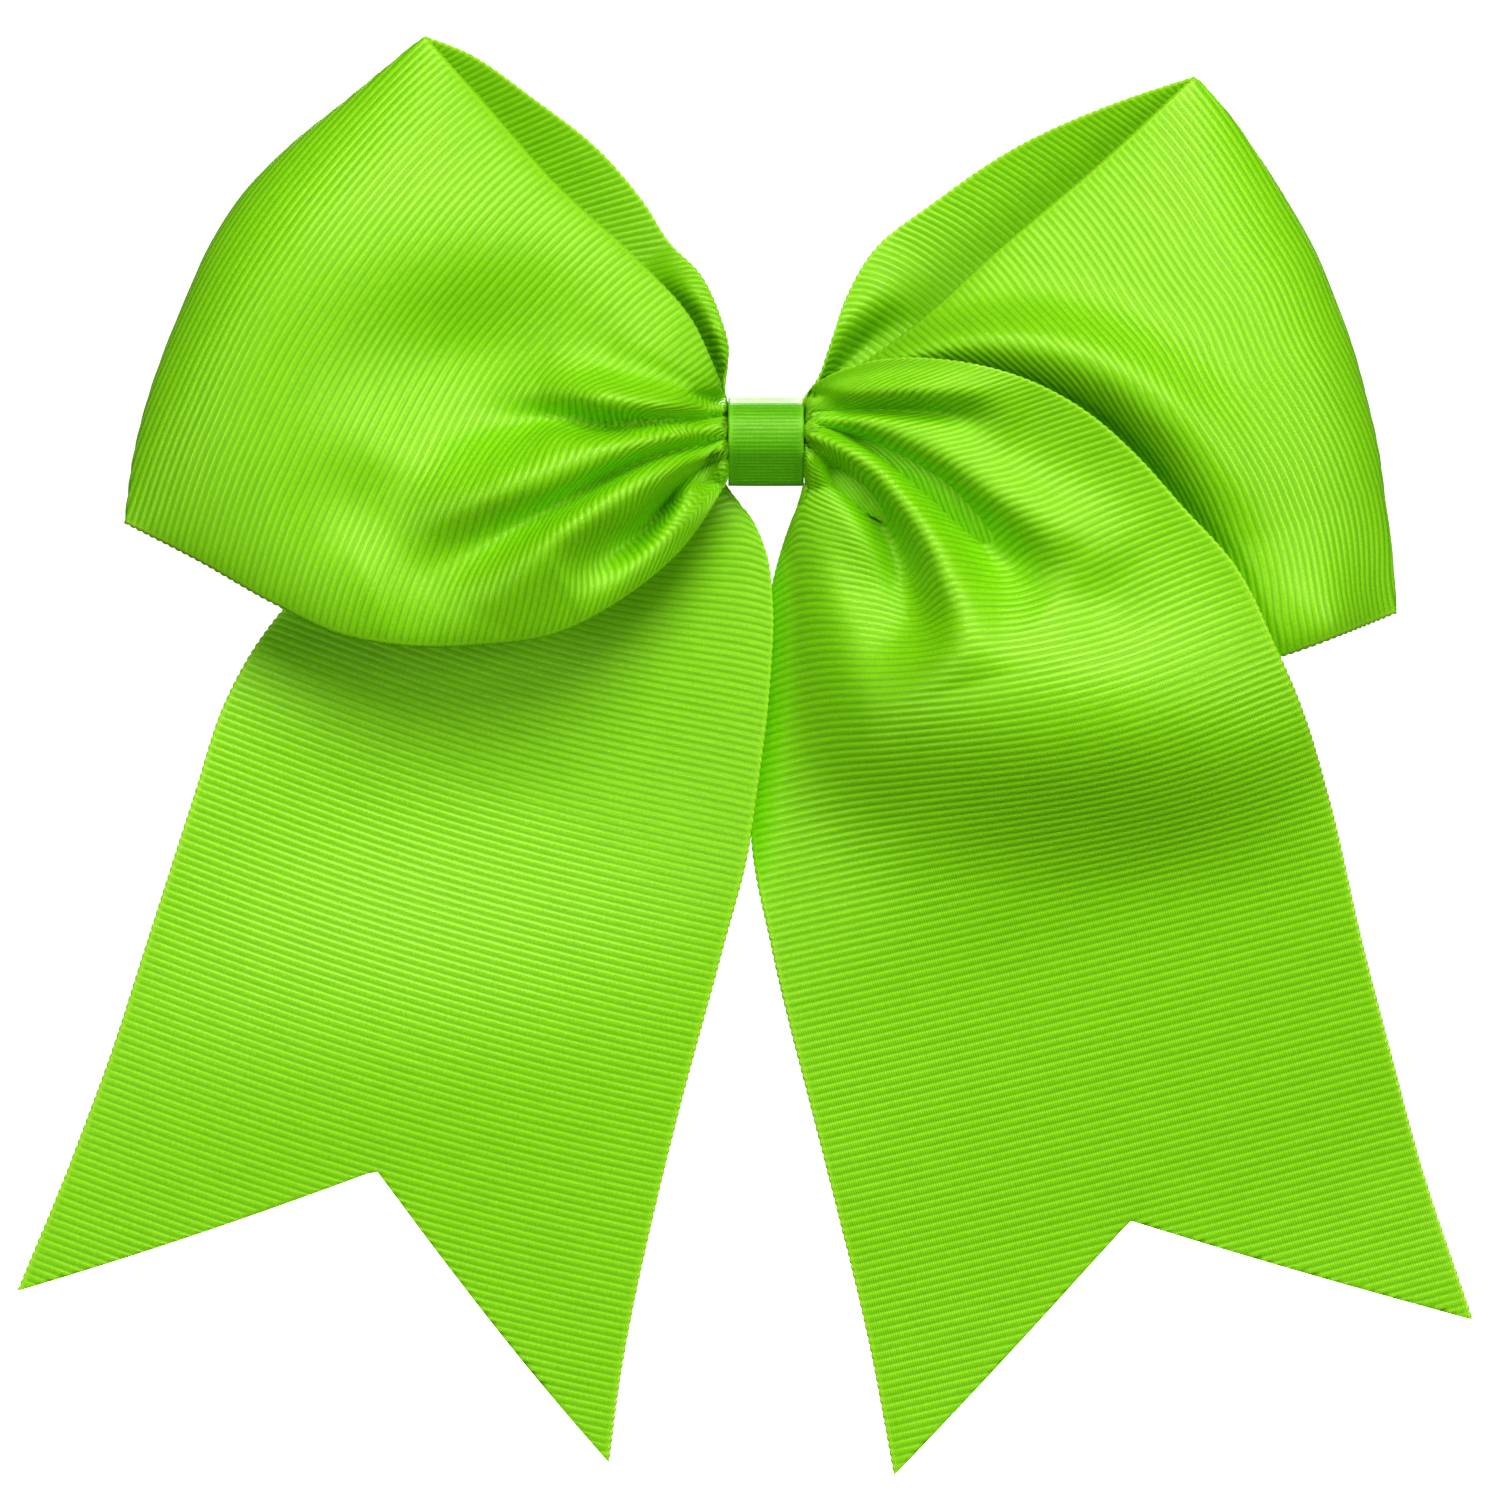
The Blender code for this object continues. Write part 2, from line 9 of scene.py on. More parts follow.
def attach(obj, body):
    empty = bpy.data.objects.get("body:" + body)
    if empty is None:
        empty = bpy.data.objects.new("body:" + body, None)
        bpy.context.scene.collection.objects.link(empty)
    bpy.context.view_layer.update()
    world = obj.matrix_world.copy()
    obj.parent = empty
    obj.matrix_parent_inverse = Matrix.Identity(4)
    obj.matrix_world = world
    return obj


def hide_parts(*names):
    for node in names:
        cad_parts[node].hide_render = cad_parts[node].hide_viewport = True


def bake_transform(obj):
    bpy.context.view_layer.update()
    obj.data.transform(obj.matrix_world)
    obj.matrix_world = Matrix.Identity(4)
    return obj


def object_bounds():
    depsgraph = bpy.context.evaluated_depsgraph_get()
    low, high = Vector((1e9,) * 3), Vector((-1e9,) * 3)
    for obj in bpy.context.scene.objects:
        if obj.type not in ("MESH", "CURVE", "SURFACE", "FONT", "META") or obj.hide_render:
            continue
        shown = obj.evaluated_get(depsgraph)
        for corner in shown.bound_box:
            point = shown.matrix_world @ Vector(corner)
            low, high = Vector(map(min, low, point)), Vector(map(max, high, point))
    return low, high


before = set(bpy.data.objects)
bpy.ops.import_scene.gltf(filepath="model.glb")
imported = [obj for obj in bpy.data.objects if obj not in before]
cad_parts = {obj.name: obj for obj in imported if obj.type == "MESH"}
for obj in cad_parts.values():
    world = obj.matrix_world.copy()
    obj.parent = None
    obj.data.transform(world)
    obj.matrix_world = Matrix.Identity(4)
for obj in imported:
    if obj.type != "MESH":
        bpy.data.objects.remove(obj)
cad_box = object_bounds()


# ---------------------------------------------------------------------------------------------------------
# Left loop. One end of the bow: 76 mm polyester grosgrain that leaves the waist, folds over softly at its
# outer end and comes back to the waist behind. Grosgrain is woven with thick weft cords under a fine warp,
# which is what makes its ribs. Nothing but the gather at the waist holds the loop's shape.

# Shapes are drawn in millimetres from the middle of the waist: x right, y back, z up. The frame's origin
# lies HAIR_FACE behind that, on the clip.
HAIR_FACE = 6.9
MM = 0.001
RIBBON_WIDTH = 76.0
RIB_PITCH = 1.0
RIB_HEIGHT = 0.135
HALF_THICKNESS = 0.12
SELVAGE_SCALLOP = 0.16

# How finely a panel is made: rows to a rib, columns across, and rows along the curves it is drawn from. At
# LOOP_SQUARE_ROW the rib runs square across a loop.
ROWS_PER_RIB = 4
SELVAGE_STEPS = (0.0, 0.3, 0.8, 1.5, 2.4)
INNER_STEPS = 54
LOOP_ROWS = 260
LOOP_SQUARE_ROW = 120

# A loop's two sides part within FOLD_REACH of the fold. The swells are the shares of the way out over which
# they part beside the waist, and creases fade over the last CREASE_FADE of the way to the fold.
FOLD_REACH = 12.0
CREASE_FADE = 0.12
SELVAGE_GAP = 0.5
FRONT_SWELL = (0.02, 0.5)
BACK_SWELL = (0.3, 0.85)

# The tied pleats have a radius of WAIST_RADIUS under the wrap. Beside it they swell out by PLEAT_SWELL over
# PLEATS_OPEN, and they are flat again at the end of PLEATS_SPREAD, both measured from the waist's middle.
WAIST_RADIUS = 3.5
PLEAT_SWELL = 2.9
PLEATS_OPEN = (4.4, 5.8)
PLEATS_SPREAD = (5.5, 12.0)


def columns(width, inner):
    """Places across a ribbon from 0 to 1, close together at both selvages."""
    near = np.array(SELVAGE_STEPS)
    middle = np.linspace(near[-1], width - near[-1], inner + 2)[1:-1]
    return np.concatenate([near, middle, width - near[::-1]]) / width


ACROSS = columns(RIBBON_WIDTH, INNER_STEPS)


def along(points, fractions):
    """Points at fractions of the length of one smooth curve through the given points."""
    knots = np.array(points, float)
    step = np.linalg.norm(np.diff(knots, axis=0), axis=1)
    start = np.concatenate([[0.0], np.cumsum(step)])
    slope = np.gradient(knots, start, axis=0)
    fine = np.linspace(0.0, start[-1], 40 * len(knots))
    i = np.clip(np.searchsorted(start, fine, side="right") - 1, 0, len(knots) - 2)
    h = step[i][:, None]
    f = (fine - start[i])[:, None] / h
    curve = (1 + 2 * f) * (1 - f) ** 2 * knots[i] + f * (1 - f) ** 2 * h * slope[i]
    curve += f * f * (3 - 2 * f) * knots[i + 1] + f * f * (f - 1) * h * slope[i + 1]
    run = np.concatenate([[0.0], np.cumsum(np.linalg.norm(np.diff(curve, axis=0), axis=1))])
    wanted = np.asarray(fractions) * run[-1]
    return np.stack([np.interp(wanted, run, column) for column in curve.T], axis=1)


def ease(value, start, end):
    """Rises smoothly from 0 at start to 1 at end."""
    f = np.clip((value - start) / (end - start), 0.0, 1.0)
    return f * f * (3 - 2 * f)


def between(first_selvage, last_selvage, out):
    """A grid of points: rows from the waist outwards, columns from one selvage to the other."""
    first, last = along(first_selvage, out), along(last_selvage, out)
    return first[:, None] * (1 - ACROSS)[None, :, None] + last[:, None] * ACROSS[None, :, None]


def crease(grid, line, depths, widths):
    """How far a crease along an (x, z) line moves each point back; below zero it is a ridge."""
    x, z = grid[:, :, 0], grid[:, :, 2]
    path = along(line, np.linspace(0, 1, 40))
    nearest = np.full(x.shape, 1e9)
    place = np.zeros(x.shape)
    for k, (a, b) in enumerate(zip(path[:-1], path[1:])):
        step = b - a
        f = np.clip(((x - a[0]) * step[0] + (z - a[1]) * step[1]) / (step @ step), 0, 1)
        gap = np.hypot(x - a[0] - f * step[0], z - a[1] - f * step[1])
        closer = gap < nearest
        nearest = np.where(closer, gap, nearest)
        place = np.where(closer, (k + f) / (len(path) - 1), place)
    depth = np.interp(place, np.linspace(0, 1, len(depths)), depths)
    width = np.interp(place, np.linspace(0, 1, len(widths)), widths)
    return depth * np.exp(-(nearest / width) ** 2)


def dent(grid, centre, radii, depth, turn):
    """A soft oval hollow pressed into the ribbon."""
    x, z = grid[:, :, 0] - centre[0], grid[:, :, 2] - centre[1]
    c, s = math.cos(math.radians(turn)), math.sin(math.radians(turn))
    a, b = (x * c + z * s) / radii[0], (-x * s + z * c) / radii[1]
    return depth * np.exp(-(a * a + b * b))


def shaped(grid, creases, dents, share=1.0):
    """The grid with its creases and dents pressed in; share fades them where it is below 1."""
    moved = sum(crease(grid, *each) for each in creases) + sum(dent(grid, *each) for each in dents)
    grid[:, :, 1] += share * moved
    return grid


FRONT, BACK = -1, 1


def bundled(grid, side):
    """The panel rounded over the tied pleats where it leaves them, at the front or at the back."""
    beyond = np.abs(grid[:, :, 0])
    radius = WAIST_RADIUS + PLEAT_SWELL * ease(beyond, *PLEATS_OPEN)
    level = np.abs(grid[:, :, 2]) / (1.1 * radius)
    rounded = side * radius * np.cos(math.pi / 2 * np.minimum(level, 1))
    share = (1 - ease(beyond, *PLEATS_SPREAD)) * (1 - ease(level, 0.75, 1.0))
    grid[:, :, 1] += share * (rounded - grid[:, :, 1])
    return grid


def loop_side(lower, upper, fold, puff, side, creases, dents=()):
    """One side of a loop, from the waist to the fold; side is FRONT or BACK.

    lower and upper are its selvages, fold the (x, z) line it folds on and puff how far its middle bulges.
    """
    out = np.sin(np.linspace(0, math.pi / 2, LOOP_ROWS))
    grid = between(lower, upper, out)
    fold_line = along(fold, ACROSS)
    grid[:, :, 0] += (fold_line[:, 0] - grid[-1, :, 0]) * (out ** 2)[:, None]
    grid[:, :, 2] += (fold_line[:, 1] - grid[-1, :, 2]) * (out ** 2)[:, None]
    length = np.linalg.norm(np.diff(grid, axis=0), axis=2).sum(axis=0)
    from_fold = np.clip((1 - out)[:, None] * length / FOLD_REACH, 0, 1)
    height = SELVAGE_GAP + puff * np.sin(math.pi * ACROSS) ** 0.8
    swell = ease(out, *(FRONT_SWELL if side == FRONT else BACK_SWELL))
    grid[:, :, 1] += side * height * np.sqrt(1 - (1 - from_fold) ** 2) * swell[:, None]
    lies_over_waist = side == FRONT and lower[0][1] < 0
    if lies_over_waist:
        bundled(grid, side)
    return shaped(grid, creases, dents, ease(1 - out, 0, CREASE_FADE)[:, None])


def run_along(grid, square_row):
    """Length along the ribbon at each point, with the rib through one row square to the ribbon."""
    run = np.zeros(grid.shape[:2])
    run[1:] = np.cumsum(np.linalg.norm(np.diff(grid, axis=0), axis=2), axis=0)
    run -= run[square_row]
    ahead = grid[square_row + 1] - grid[square_row - 1]
    ahead /= np.linalg.norm(ahead, axis=1)[:, None]
    slip = (np.diff(grid[square_row], axis=0) * (ahead[1:] + ahead[:-1]) / 2).sum(axis=1)
    return run + np.concatenate([[0], np.cumsum(slip)])


def sampled(values, run, wanted):
    """Each column's vectors at the wanted lengths along it."""
    made = np.empty(wanted.shape + (3,))
    for column in range(wanted.shape[1]):
        for axis in range(3):
            made[:, column, axis] = np.interp(wanted[:, column], run[:, column], values[:, column, axis])
    return made


def unit(vectors):
    """Vectors of a grid at a length of one."""
    return vectors / np.maximum(np.linalg.norm(vectors, axis=2, keepdims=True), 1e-9)


def joined_faces(first, last, rows, count):
    """Faces between rows, where a column's points outside its first and last row are left out."""
    row = np.clip(np.arange(rows)[:, None], first, last)
    index = row * count + np.arange(count)
    quads = np.stack([index[:-1, :-1], index[:-1, 1:], index[1:, 1:], index[1:, :-1]], axis=2)
    faces = []
    for quad in quads.reshape(-1, 4).tolist():
        corners = [v for k, v in enumerate(quad) if v != quad[k - 1]]
        if len(corners) > 2:
            faces.append(corners)
    return faces


def rim_of(faces):
    """The edges that only one face has."""
    edges = {}
    for face in faces:
        for a, b in zip(face, face[1:] + face[:1]):
            if edges.pop((b, a), None) is None:
                edges[(a, b)] = True
    return list(edges)


def add_attribute(mesh, name, values):
    """Stores one vector at each of a mesh's points."""
    made = mesh.attributes.new(name, "FLOAT_VECTOR", "POINT")
    made.data.foreach_set("vector", np.asarray(values, np.float32).ravel())


def metres(points):
    """Drawn millimetres in the frame's metres."""
    return (np.asarray(points, float) - (0, HAIR_FACE, 0)) * MM


def woven_sheet(name, grid, run, cut_end, across, width, pitch):
    """A thin closed ribbon with a row of points at each quarter of a rib, and the attributes its ribs need.

    run is the length along the ribbon at each point of the grid, and cut_end where each column is cut off.
    weave holds millimetres across and along, out the way out of the surface, and side the way off a selvage.
    """
    side = unit(np.gradient(grid, across, axis=1))
    out = unit(np.cross(side, np.gradient(grid, axis=0)))
    step = pitch / ROWS_PER_RIB
    rows = np.arange(math.ceil(run[0].min() / step), math.floor(cut_end.max() / step) + 2) * step
    first = np.maximum(np.searchsorted(rows, run[0], side="right") - 1, 0)
    last = np.minimum(np.searchsorted(rows, cut_end, side="left"), len(rows) - 1)
    wanted = np.clip(rows[:, None], run[0], cut_end)
    middle, out, side = (sampled(values, run, wanted) for values in (grid, unit(out), side))
    out, side = unit(out), unit(side)
    side[:, 0] *= -1
    side[:, 1:-1] = 0
    weave = np.stack([np.broadcast_to(across * width, wanted.shape), wanted, 0 * wanted], axis=2)
    faces = joined_faces(first, last, len(rows), len(across))
    rim = rim_of(faces)
    count = wanted.size
    points = np.concatenate([middle + out * HALF_THICKNESS, middle - out * HALF_THICKNESS]).reshape(-1, 3)
    faces += [[v + count for v in reversed(face)] for face in faces]
    faces += [[b, a, a + count, b + count] for a, b in rim]
    used = np.zeros(len(points), bool)
    used[[v for face in faces for v in face]] = True
    renumber = np.cumsum(used) - 1
    mesh = bpy.data.meshes.new(name)
    faces = [renumber[face].tolist() for face in faces]
    mesh.from_pydata(metres(points[used]).tolist(), [], faces)
    add_attribute(mesh, "weave", np.concatenate([weave, weave]).reshape(-1, 3)[used])
    add_attribute(mesh, "out", np.concatenate([out, -out]).reshape(-1, 3)[used])
    add_attribute(mesh, "side", np.concatenate([side, side]).reshape(-1, 3)[used])
    mesh.shade_smooth()
    made = bpy.data.objects.new(name, mesh)
    bpy.context.scene.collection.objects.link(made)
    return made


def srgb(code):
    """The linear colour of an sRGB hex value."""
    parts = [int(code[i:i + 2], 16) / 255 for i in (1, 3, 5)]
    return tuple(p / 12.92 if p <= 0.04045 else ((p + 0.055) / 1.055) ** 2.4 for p in parts) + (1.0,)


def add(tree, kind, inputs=None, **settings):
    """A node with its settings. Its inputs are values, sockets, or nodes whose first output is linked."""
    made = tree.nodes.new(kind)
    for name, value in settings.items():
        setattr(made, name, value)
    for key, value in (inputs or {}).items():
        if isinstance(value, bpy.types.Node):
            value = value.outputs[0]
        if isinstance(value, bpy.types.NodeSocket):
            tree.links.new(value, made.inputs[key])
        else:
            made.inputs[key].default_value = value
    return made


def new_material(name):
    """A material, its node tree and its shader."""
    made = bpy.data.materials.new(name)
    made.use_nodes = True
    return made, made.node_tree, made.node_tree.nodes["Principled BSDF"]


def grosgrain(name, pale_rib_top_highlight, rib_valley_shade, selvage, width, pitch, warp):
    """Dyed polyester grosgrain, woven from bright filament yarn.

    The eye sees a satin glint along the top of each rib where the warp floats over it, partly from its
    lower roughness and partly a painted highlight: the rib tops are painted paler. The green between ribs
    is painted deeper as painted shade. Fine warp threads cross the ribs, and the selvage is smooth and
    slightly paler.
    """
    made, tree, shader = new_material(name)
    weave = add(tree, "ShaderNodeAttribute", attribute_name="weave").outputs["Vector"]
    across, run, _ = add(tree, "ShaderNodeSeparateXYZ", {0: weave}).outputs
    turn = add(tree, "ShaderNodeMath", {0: run, 1: math.pi / pitch}, operation="MULTIPLY")
    swing = add(tree, "ShaderNodeMath", {0: turn}, operation="COSINE")
    rib = add(tree, "ShaderNodeMath", {0: swing}, operation="ABSOLUTE")
    # Warp ends are drawn twice as far apart as the real ones, which are too fine to show.
    warp_turn = add(tree, "ShaderNodeMath", {0: across, 1: 2 * math.pi / warp}, operation="MULTIPLY")
    thread = add(tree, "ShaderNodeMath", {0: warp_turn}, operation="SINE")
    # Uneven yarn: each rib takes the dye and the light a little differently along its length. Streaks are
    # about 8 mm long and a rib high, and fibres 0.4 mm wide.
    streak_at = add(tree, "ShaderNodeVectorMath", {0: weave, 1: (0.12, 0.9, 1.0)}, operation="MULTIPLY")
    streak = add(tree, "ShaderNodeTexNoise", {"Vector": streak_at, "Scale": 1.0, "Detail": 2.0})
    fibre_at = add(tree, "ShaderNodeVectorMath", {0: weave, 1: (2.6, 0.9, 1.0)}, operation="MULTIPLY")
    fibre = add(tree, "ShaderNodeTexNoise", {"Vector": fibre_at, "Scale": 1.0, "Detail": 1.0})
    #     Painted highlight and painted shade: a rib's top is painted pale and the green between ribs deep.
    #     The noises vary it both ways, so half of each is taken off.
    top = add(tree, "ShaderNodeMath", {0: rib, 1: 0.7}, operation="POWER")
    top = add(tree, "ShaderNodeMath", {0: top, 1: 0.25}, operation="SUBTRACT")
    painted_rib_shade_and_yarn_tone = add(tree, "ShaderNodeMath", {0: streak, 1: 0.5, 2: top}, operation="MULTIPLY_ADD")
    painted_rib_shade_and_yarn_tone = add(tree, "ShaderNodeMath", {0: painted_rib_shade_and_yarn_tone, 1: 0.15}, operation="SUBTRACT")
    painted_rib_shade_and_yarn_tone = add(tree, "ShaderNodeMath", {0: fibre, 1: 0.3, 2: painted_rib_shade_and_yarn_tone}, operation="MULTIPLY_ADD", use_clamp=True)
    # Painted light and shade in the base colour: the rib-top colour is a painted highlight, the valley
    # colour painted shade.
    body = add(tree, "ShaderNodeMix", {"Factor": painted_rib_shade_and_yarn_tone, "A": srgb(rib_valley_shade), "B": srgb(pale_rib_top_highlight)}, data_type="RGBA")
    # The selvage is the outer 0.2 mm, and its colour fades in from 0.9 mm.
    far_side = add(tree, "ShaderNodeMath", {0: width, 1: across}, operation="SUBTRACT")
    inset = add(tree, "ShaderNodeMath", {0: across, 1: far_side}, operation="MINIMUM")
    edge = add(tree, "ShaderNodeMapRange", {0: inset, 1: 0.2, 2: 0.9, 3: 1.0, 4: 0.0},
               interpolation_type="SMOOTHSTEP")
    whole = add(tree, "ShaderNodeMix", {"Factor": edge, "A": body.outputs["Result"], "B": srgb(selvage)},
                data_type="RGBA")
    tree.links.new(whole.outputs["Result"], shader.inputs["Base Color"])
    # The floats along a rib's top lie straight and shine most.
    gloss = add(tree, "ShaderNodeMath", {0: fibre, 1: 0.25, 2: 0.32}, operation="MULTIPLY_ADD")
    floats = add(tree, "ShaderNodeMath", {0: rib, 1: 4.0}, operation="POWER")
    gloss = add(tree, "ShaderNodeMath", {0: floats, 1: -0.2, 2: gloss}, operation="MULTIPLY_ADD")
    tree.links.new(gloss.outputs[0], shader.inputs["Roughness"])
    raised = add(tree, "ShaderNodeMath", {0: thread, 1: 0.35}, operation="MULTIPLY")
    raised = add(tree, "ShaderNodeMath", {0: fibre, 1: 0.6, 2: raised}, operation="MULTIPLY_ADD")
    bump = add(tree, "ShaderNodeBump", {"Strength": 0.35, "Distance": 0.06 * MM, "Height": raised})
    tree.links.new(bump.outputs[0], shader.inputs["Normal"])
    shader.inputs["IOR"].default_value = 1.5
    shader.inputs["Specular IOR Level"].default_value = 0.8
    shader.inputs["Specular Tint"].default_value = srgb("#fcffb4")
    return made


def rib_tree():
    """Raises a grosgrain's ribs out of a plain sheet and scallops its selvages at each rib."""
    tree = bpy.data.node_groups.new("grosgrain_ribs", "GeometryNodeTree")
    sockets = tree.interface
    sockets.new_socket("Geometry", in_out="INPUT", socket_type="NodeSocketGeometry")
    for name in ("Rib Pitch", "Rib Height", "Selvage Scallop", "Ribbon Width"):
        sockets.new_socket(name, in_out="INPUT", socket_type="NodeSocketFloat")
    sockets.new_socket("Material", in_out="INPUT", socket_type="NodeSocketMaterial")
    sockets.new_socket("Geometry", in_out="OUTPUT", socket_type="NodeSocketGeometry")
    given = add(tree, "NodeGroupInput").outputs
    weave, out, side = (
        add(tree, "GeometryNodeInputNamedAttribute", {"Name": name}, data_type="FLOAT_VECTOR")
        for name in ("weave", "out", "side"))
    across, run, _ = add(tree, "ShaderNodeSeparateXYZ", {0: weave}).outputs
    turn = add(tree, "ShaderNodeMath", {0: run, 1: math.pi}, operation="MULTIPLY")
    turn = add(tree, "ShaderNodeMath", {0: turn, 1: given["Rib Pitch"]}, operation="DIVIDE")
    swing = add(tree, "ShaderNodeMath", {0: turn}, operation="COSINE")
    rib = add(tree, "ShaderNodeMath", {0: swing}, operation="ABSOLUTE")
    # The ribs are lower within 1.8 mm of a selvage, where the weft turns back.
    far_side = add(tree, "ShaderNodeMath", {0: given["Ribbon Width"], 1: across}, operation="SUBTRACT")
    inset = add(tree, "ShaderNodeMath", {0: across, 1: far_side}, operation="MINIMUM")
    body = add(tree, "ShaderNodeMapRange", {0: inset, 1: 0.4, 2: 1.8, 3: 0.6, 4: 1.0})
    lift = add(tree, "ShaderNodeMath", {0: rib, 1: body}, operation="MULTIPLY")
    lift = add(tree, "ShaderNodeMath", {0: lift, 1: given["Rib Height"]}, operation="MULTIPLY")
    spread = add(tree, "ShaderNodeMath", {0: rib, 1: given["Selvage Scallop"]}, operation="MULTIPLY")
    raised = add(tree, "ShaderNodeVectorMath", {0: out, "Scale": lift}, operation="SCALE")
    widened = add(tree, "ShaderNodeVectorMath", {0: side, "Scale": spread}, operation="SCALE")
    move = add(tree, "ShaderNodeVectorMath", {0: raised, 1: widened})
    moved = add(tree, "GeometryNodeSetPosition", {"Geometry": given["Geometry"], "Offset": move})
    whole = add(tree, "GeometryNodeRealizeInstances", {"Geometry": moved})
    dyed = add(tree, "GeometryNodeSetMaterial", {"Geometry": whole, "Material": given["Material"]})
    add(tree, "NodeGroupOutput", {0: dyed})
    return tree


def grown(obj, tree, values):
    """The object with a Geometry Nodes tree applied; values are its inputs by name."""
    modifier = obj.modifiers.new(tree.name, "NODES")
    modifier.node_group = tree
    for item in tree.interface.items_tree:
        if item.item_type == "SOCKET" and item.in_out == "INPUT" and item.name in values:
            modifier[item.identifier] = values[item.name]
    bpy.context.view_layer.update()
    graph = bpy.context.evaluated_depsgraph_get()
    mesh = bpy.data.meshes.new_from_object(obj.evaluated_get(graph), depsgraph=graph)
    obj.modifiers.remove(modifier)
    before = obj.data
    obj.data = mesh
    bpy.data.meshes.remove(before)
    mesh.name = obj.name
    return obj


GROSGRAIN_RIBS = rib_tree()
# The first colour is a painted highlight on the rib tops, the second painted shade between the ribs.
LIME_GROSGRAIN = grosgrain("lime_polyester_grosgrain", pale_rib_top_highlight="#96e412", rib_valley_shade="#68c00c", selvage="#9ae41e",
                           width=RIBBON_WIDTH, pitch=RIB_PITCH, warp=0.3)


def ribbed(obj, width, material, pitch, height, scallop):
    """A woven sheet with its ribs raised and its material on."""
    return grown(obj, GROSGRAIN_RIBS, {
        "Rib Pitch": pitch, "Rib Height": height * MM, "Selvage Scallop": scallop * MM,
        "Ribbon Width": width, "Material": material})


def ribbon_piece(name, node, grid, square_row, notch=None):
    """A ribbed panel of the wide ribbon that stands for its solid, with the flat size it was cut to.

    square_row is the row whose rib runs square across, and notch the place and depth of a V cut in the end.
    """
    run = run_along(grid, square_row)
    cut_end = run[-1].copy()
    if notch:
        apex, depth = notch
        cut_end -= depth * np.minimum(ACROSS / apex, (1 - ACROSS) / (1 - apex))
    made = woven_sheet(name, grid, run, cut_end, ACROSS, RIBBON_WIDTH, RIB_PITCH)
    made = ribbed(made, RIBBON_WIDTH, LIME_GROSGRAIN, RIB_PITCH, RIB_HEIGHT, SELVAGE_SCALLOP)
    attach(made, "bow")
    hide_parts(node)
    return made


# Selvages are (x, y, z) points from the waist outwards, and the fold is (x, z) points from the lower selvage
# to the upper. A crease is its line in (x, z), its depths and its widths along that line; above zero it is
# pressed back and below zero it stands forward. A dent is its centre, radii, depth and turn. A puff is how
# far the middle of a loop's front or back bulges.
LEFT_FRONT_PUFF = 7.5
LEFT_BACK_PUFF = 5.0

left_front_low = [
    (-3, -1.2, -3.4), (-4.3, -1.2, -3.8), (-5.6, -2, -6), (-11.3, -5, -14.3), (-19.2, -7, -20.9),
    (-27.1, -8, -25.1), (-37.6, -7.5, -26.8), (-48.2, -7, -26.8), (-55.4, -6.5, -25.5),
    (-64.6, -5, -21.3), (-74.5, -3, -15.7), (-84.3, -0.5, -10.7),
]
left_front_high = [
    (-3, -1.2, 3.4), (-4.3, -1.2, 3.8), (-5.4, -2, 5.6), (-6.6, -5.5, 8.7), (-10, -7.5, 15.9),
    (-16.6, -7, 23.2), (-27.1, -5.5, 33), (-37.6, -3, 44.9), (-44.9, -0.5, 53.2),
]
left_back_low = [
    (-3, 0, -3.4), (-4.3, 0, -3.8), (-5.7, 0, -5.4), (-8, 1, -7), (-15, 2.2, -11.5), (-24, 3.5, -17.5),
    (-33, 4.5, -21), (-44, 5, -22.5), (-54, 4.5, -21.5), (-64, 3, -18.5), (-74, 1, -14),
    (-84.3, -0.5, -10.7),
]
left_back_high = [
    (-3, 0, 3.4), (-4.3, 0, 3.8), (-5.3, 0, 6), (-5, 0, 12), (-6, 0.2, 15.9), (-8.7, 1.5, 21.8),
    (-12.6, 2.6, 26), (-16.3, 3, 31.7), (-22, 2.5, 38.3), (-30.4, 1.5, 44.9), (-40.1, 0, 51.4),
    (-44.9, -0.5, 53.2),
]
left_fold = [
    (-84.3, -10.7), (-82.9, -1.2), (-81.2, 5.4), (-78.9, 12), (-76.2, 18.6), (-73.3, 25.1),
    (-69.2, 31.7), (-63, 38.3), (-54.9, 44.9), (-44.9, 53.2),
]
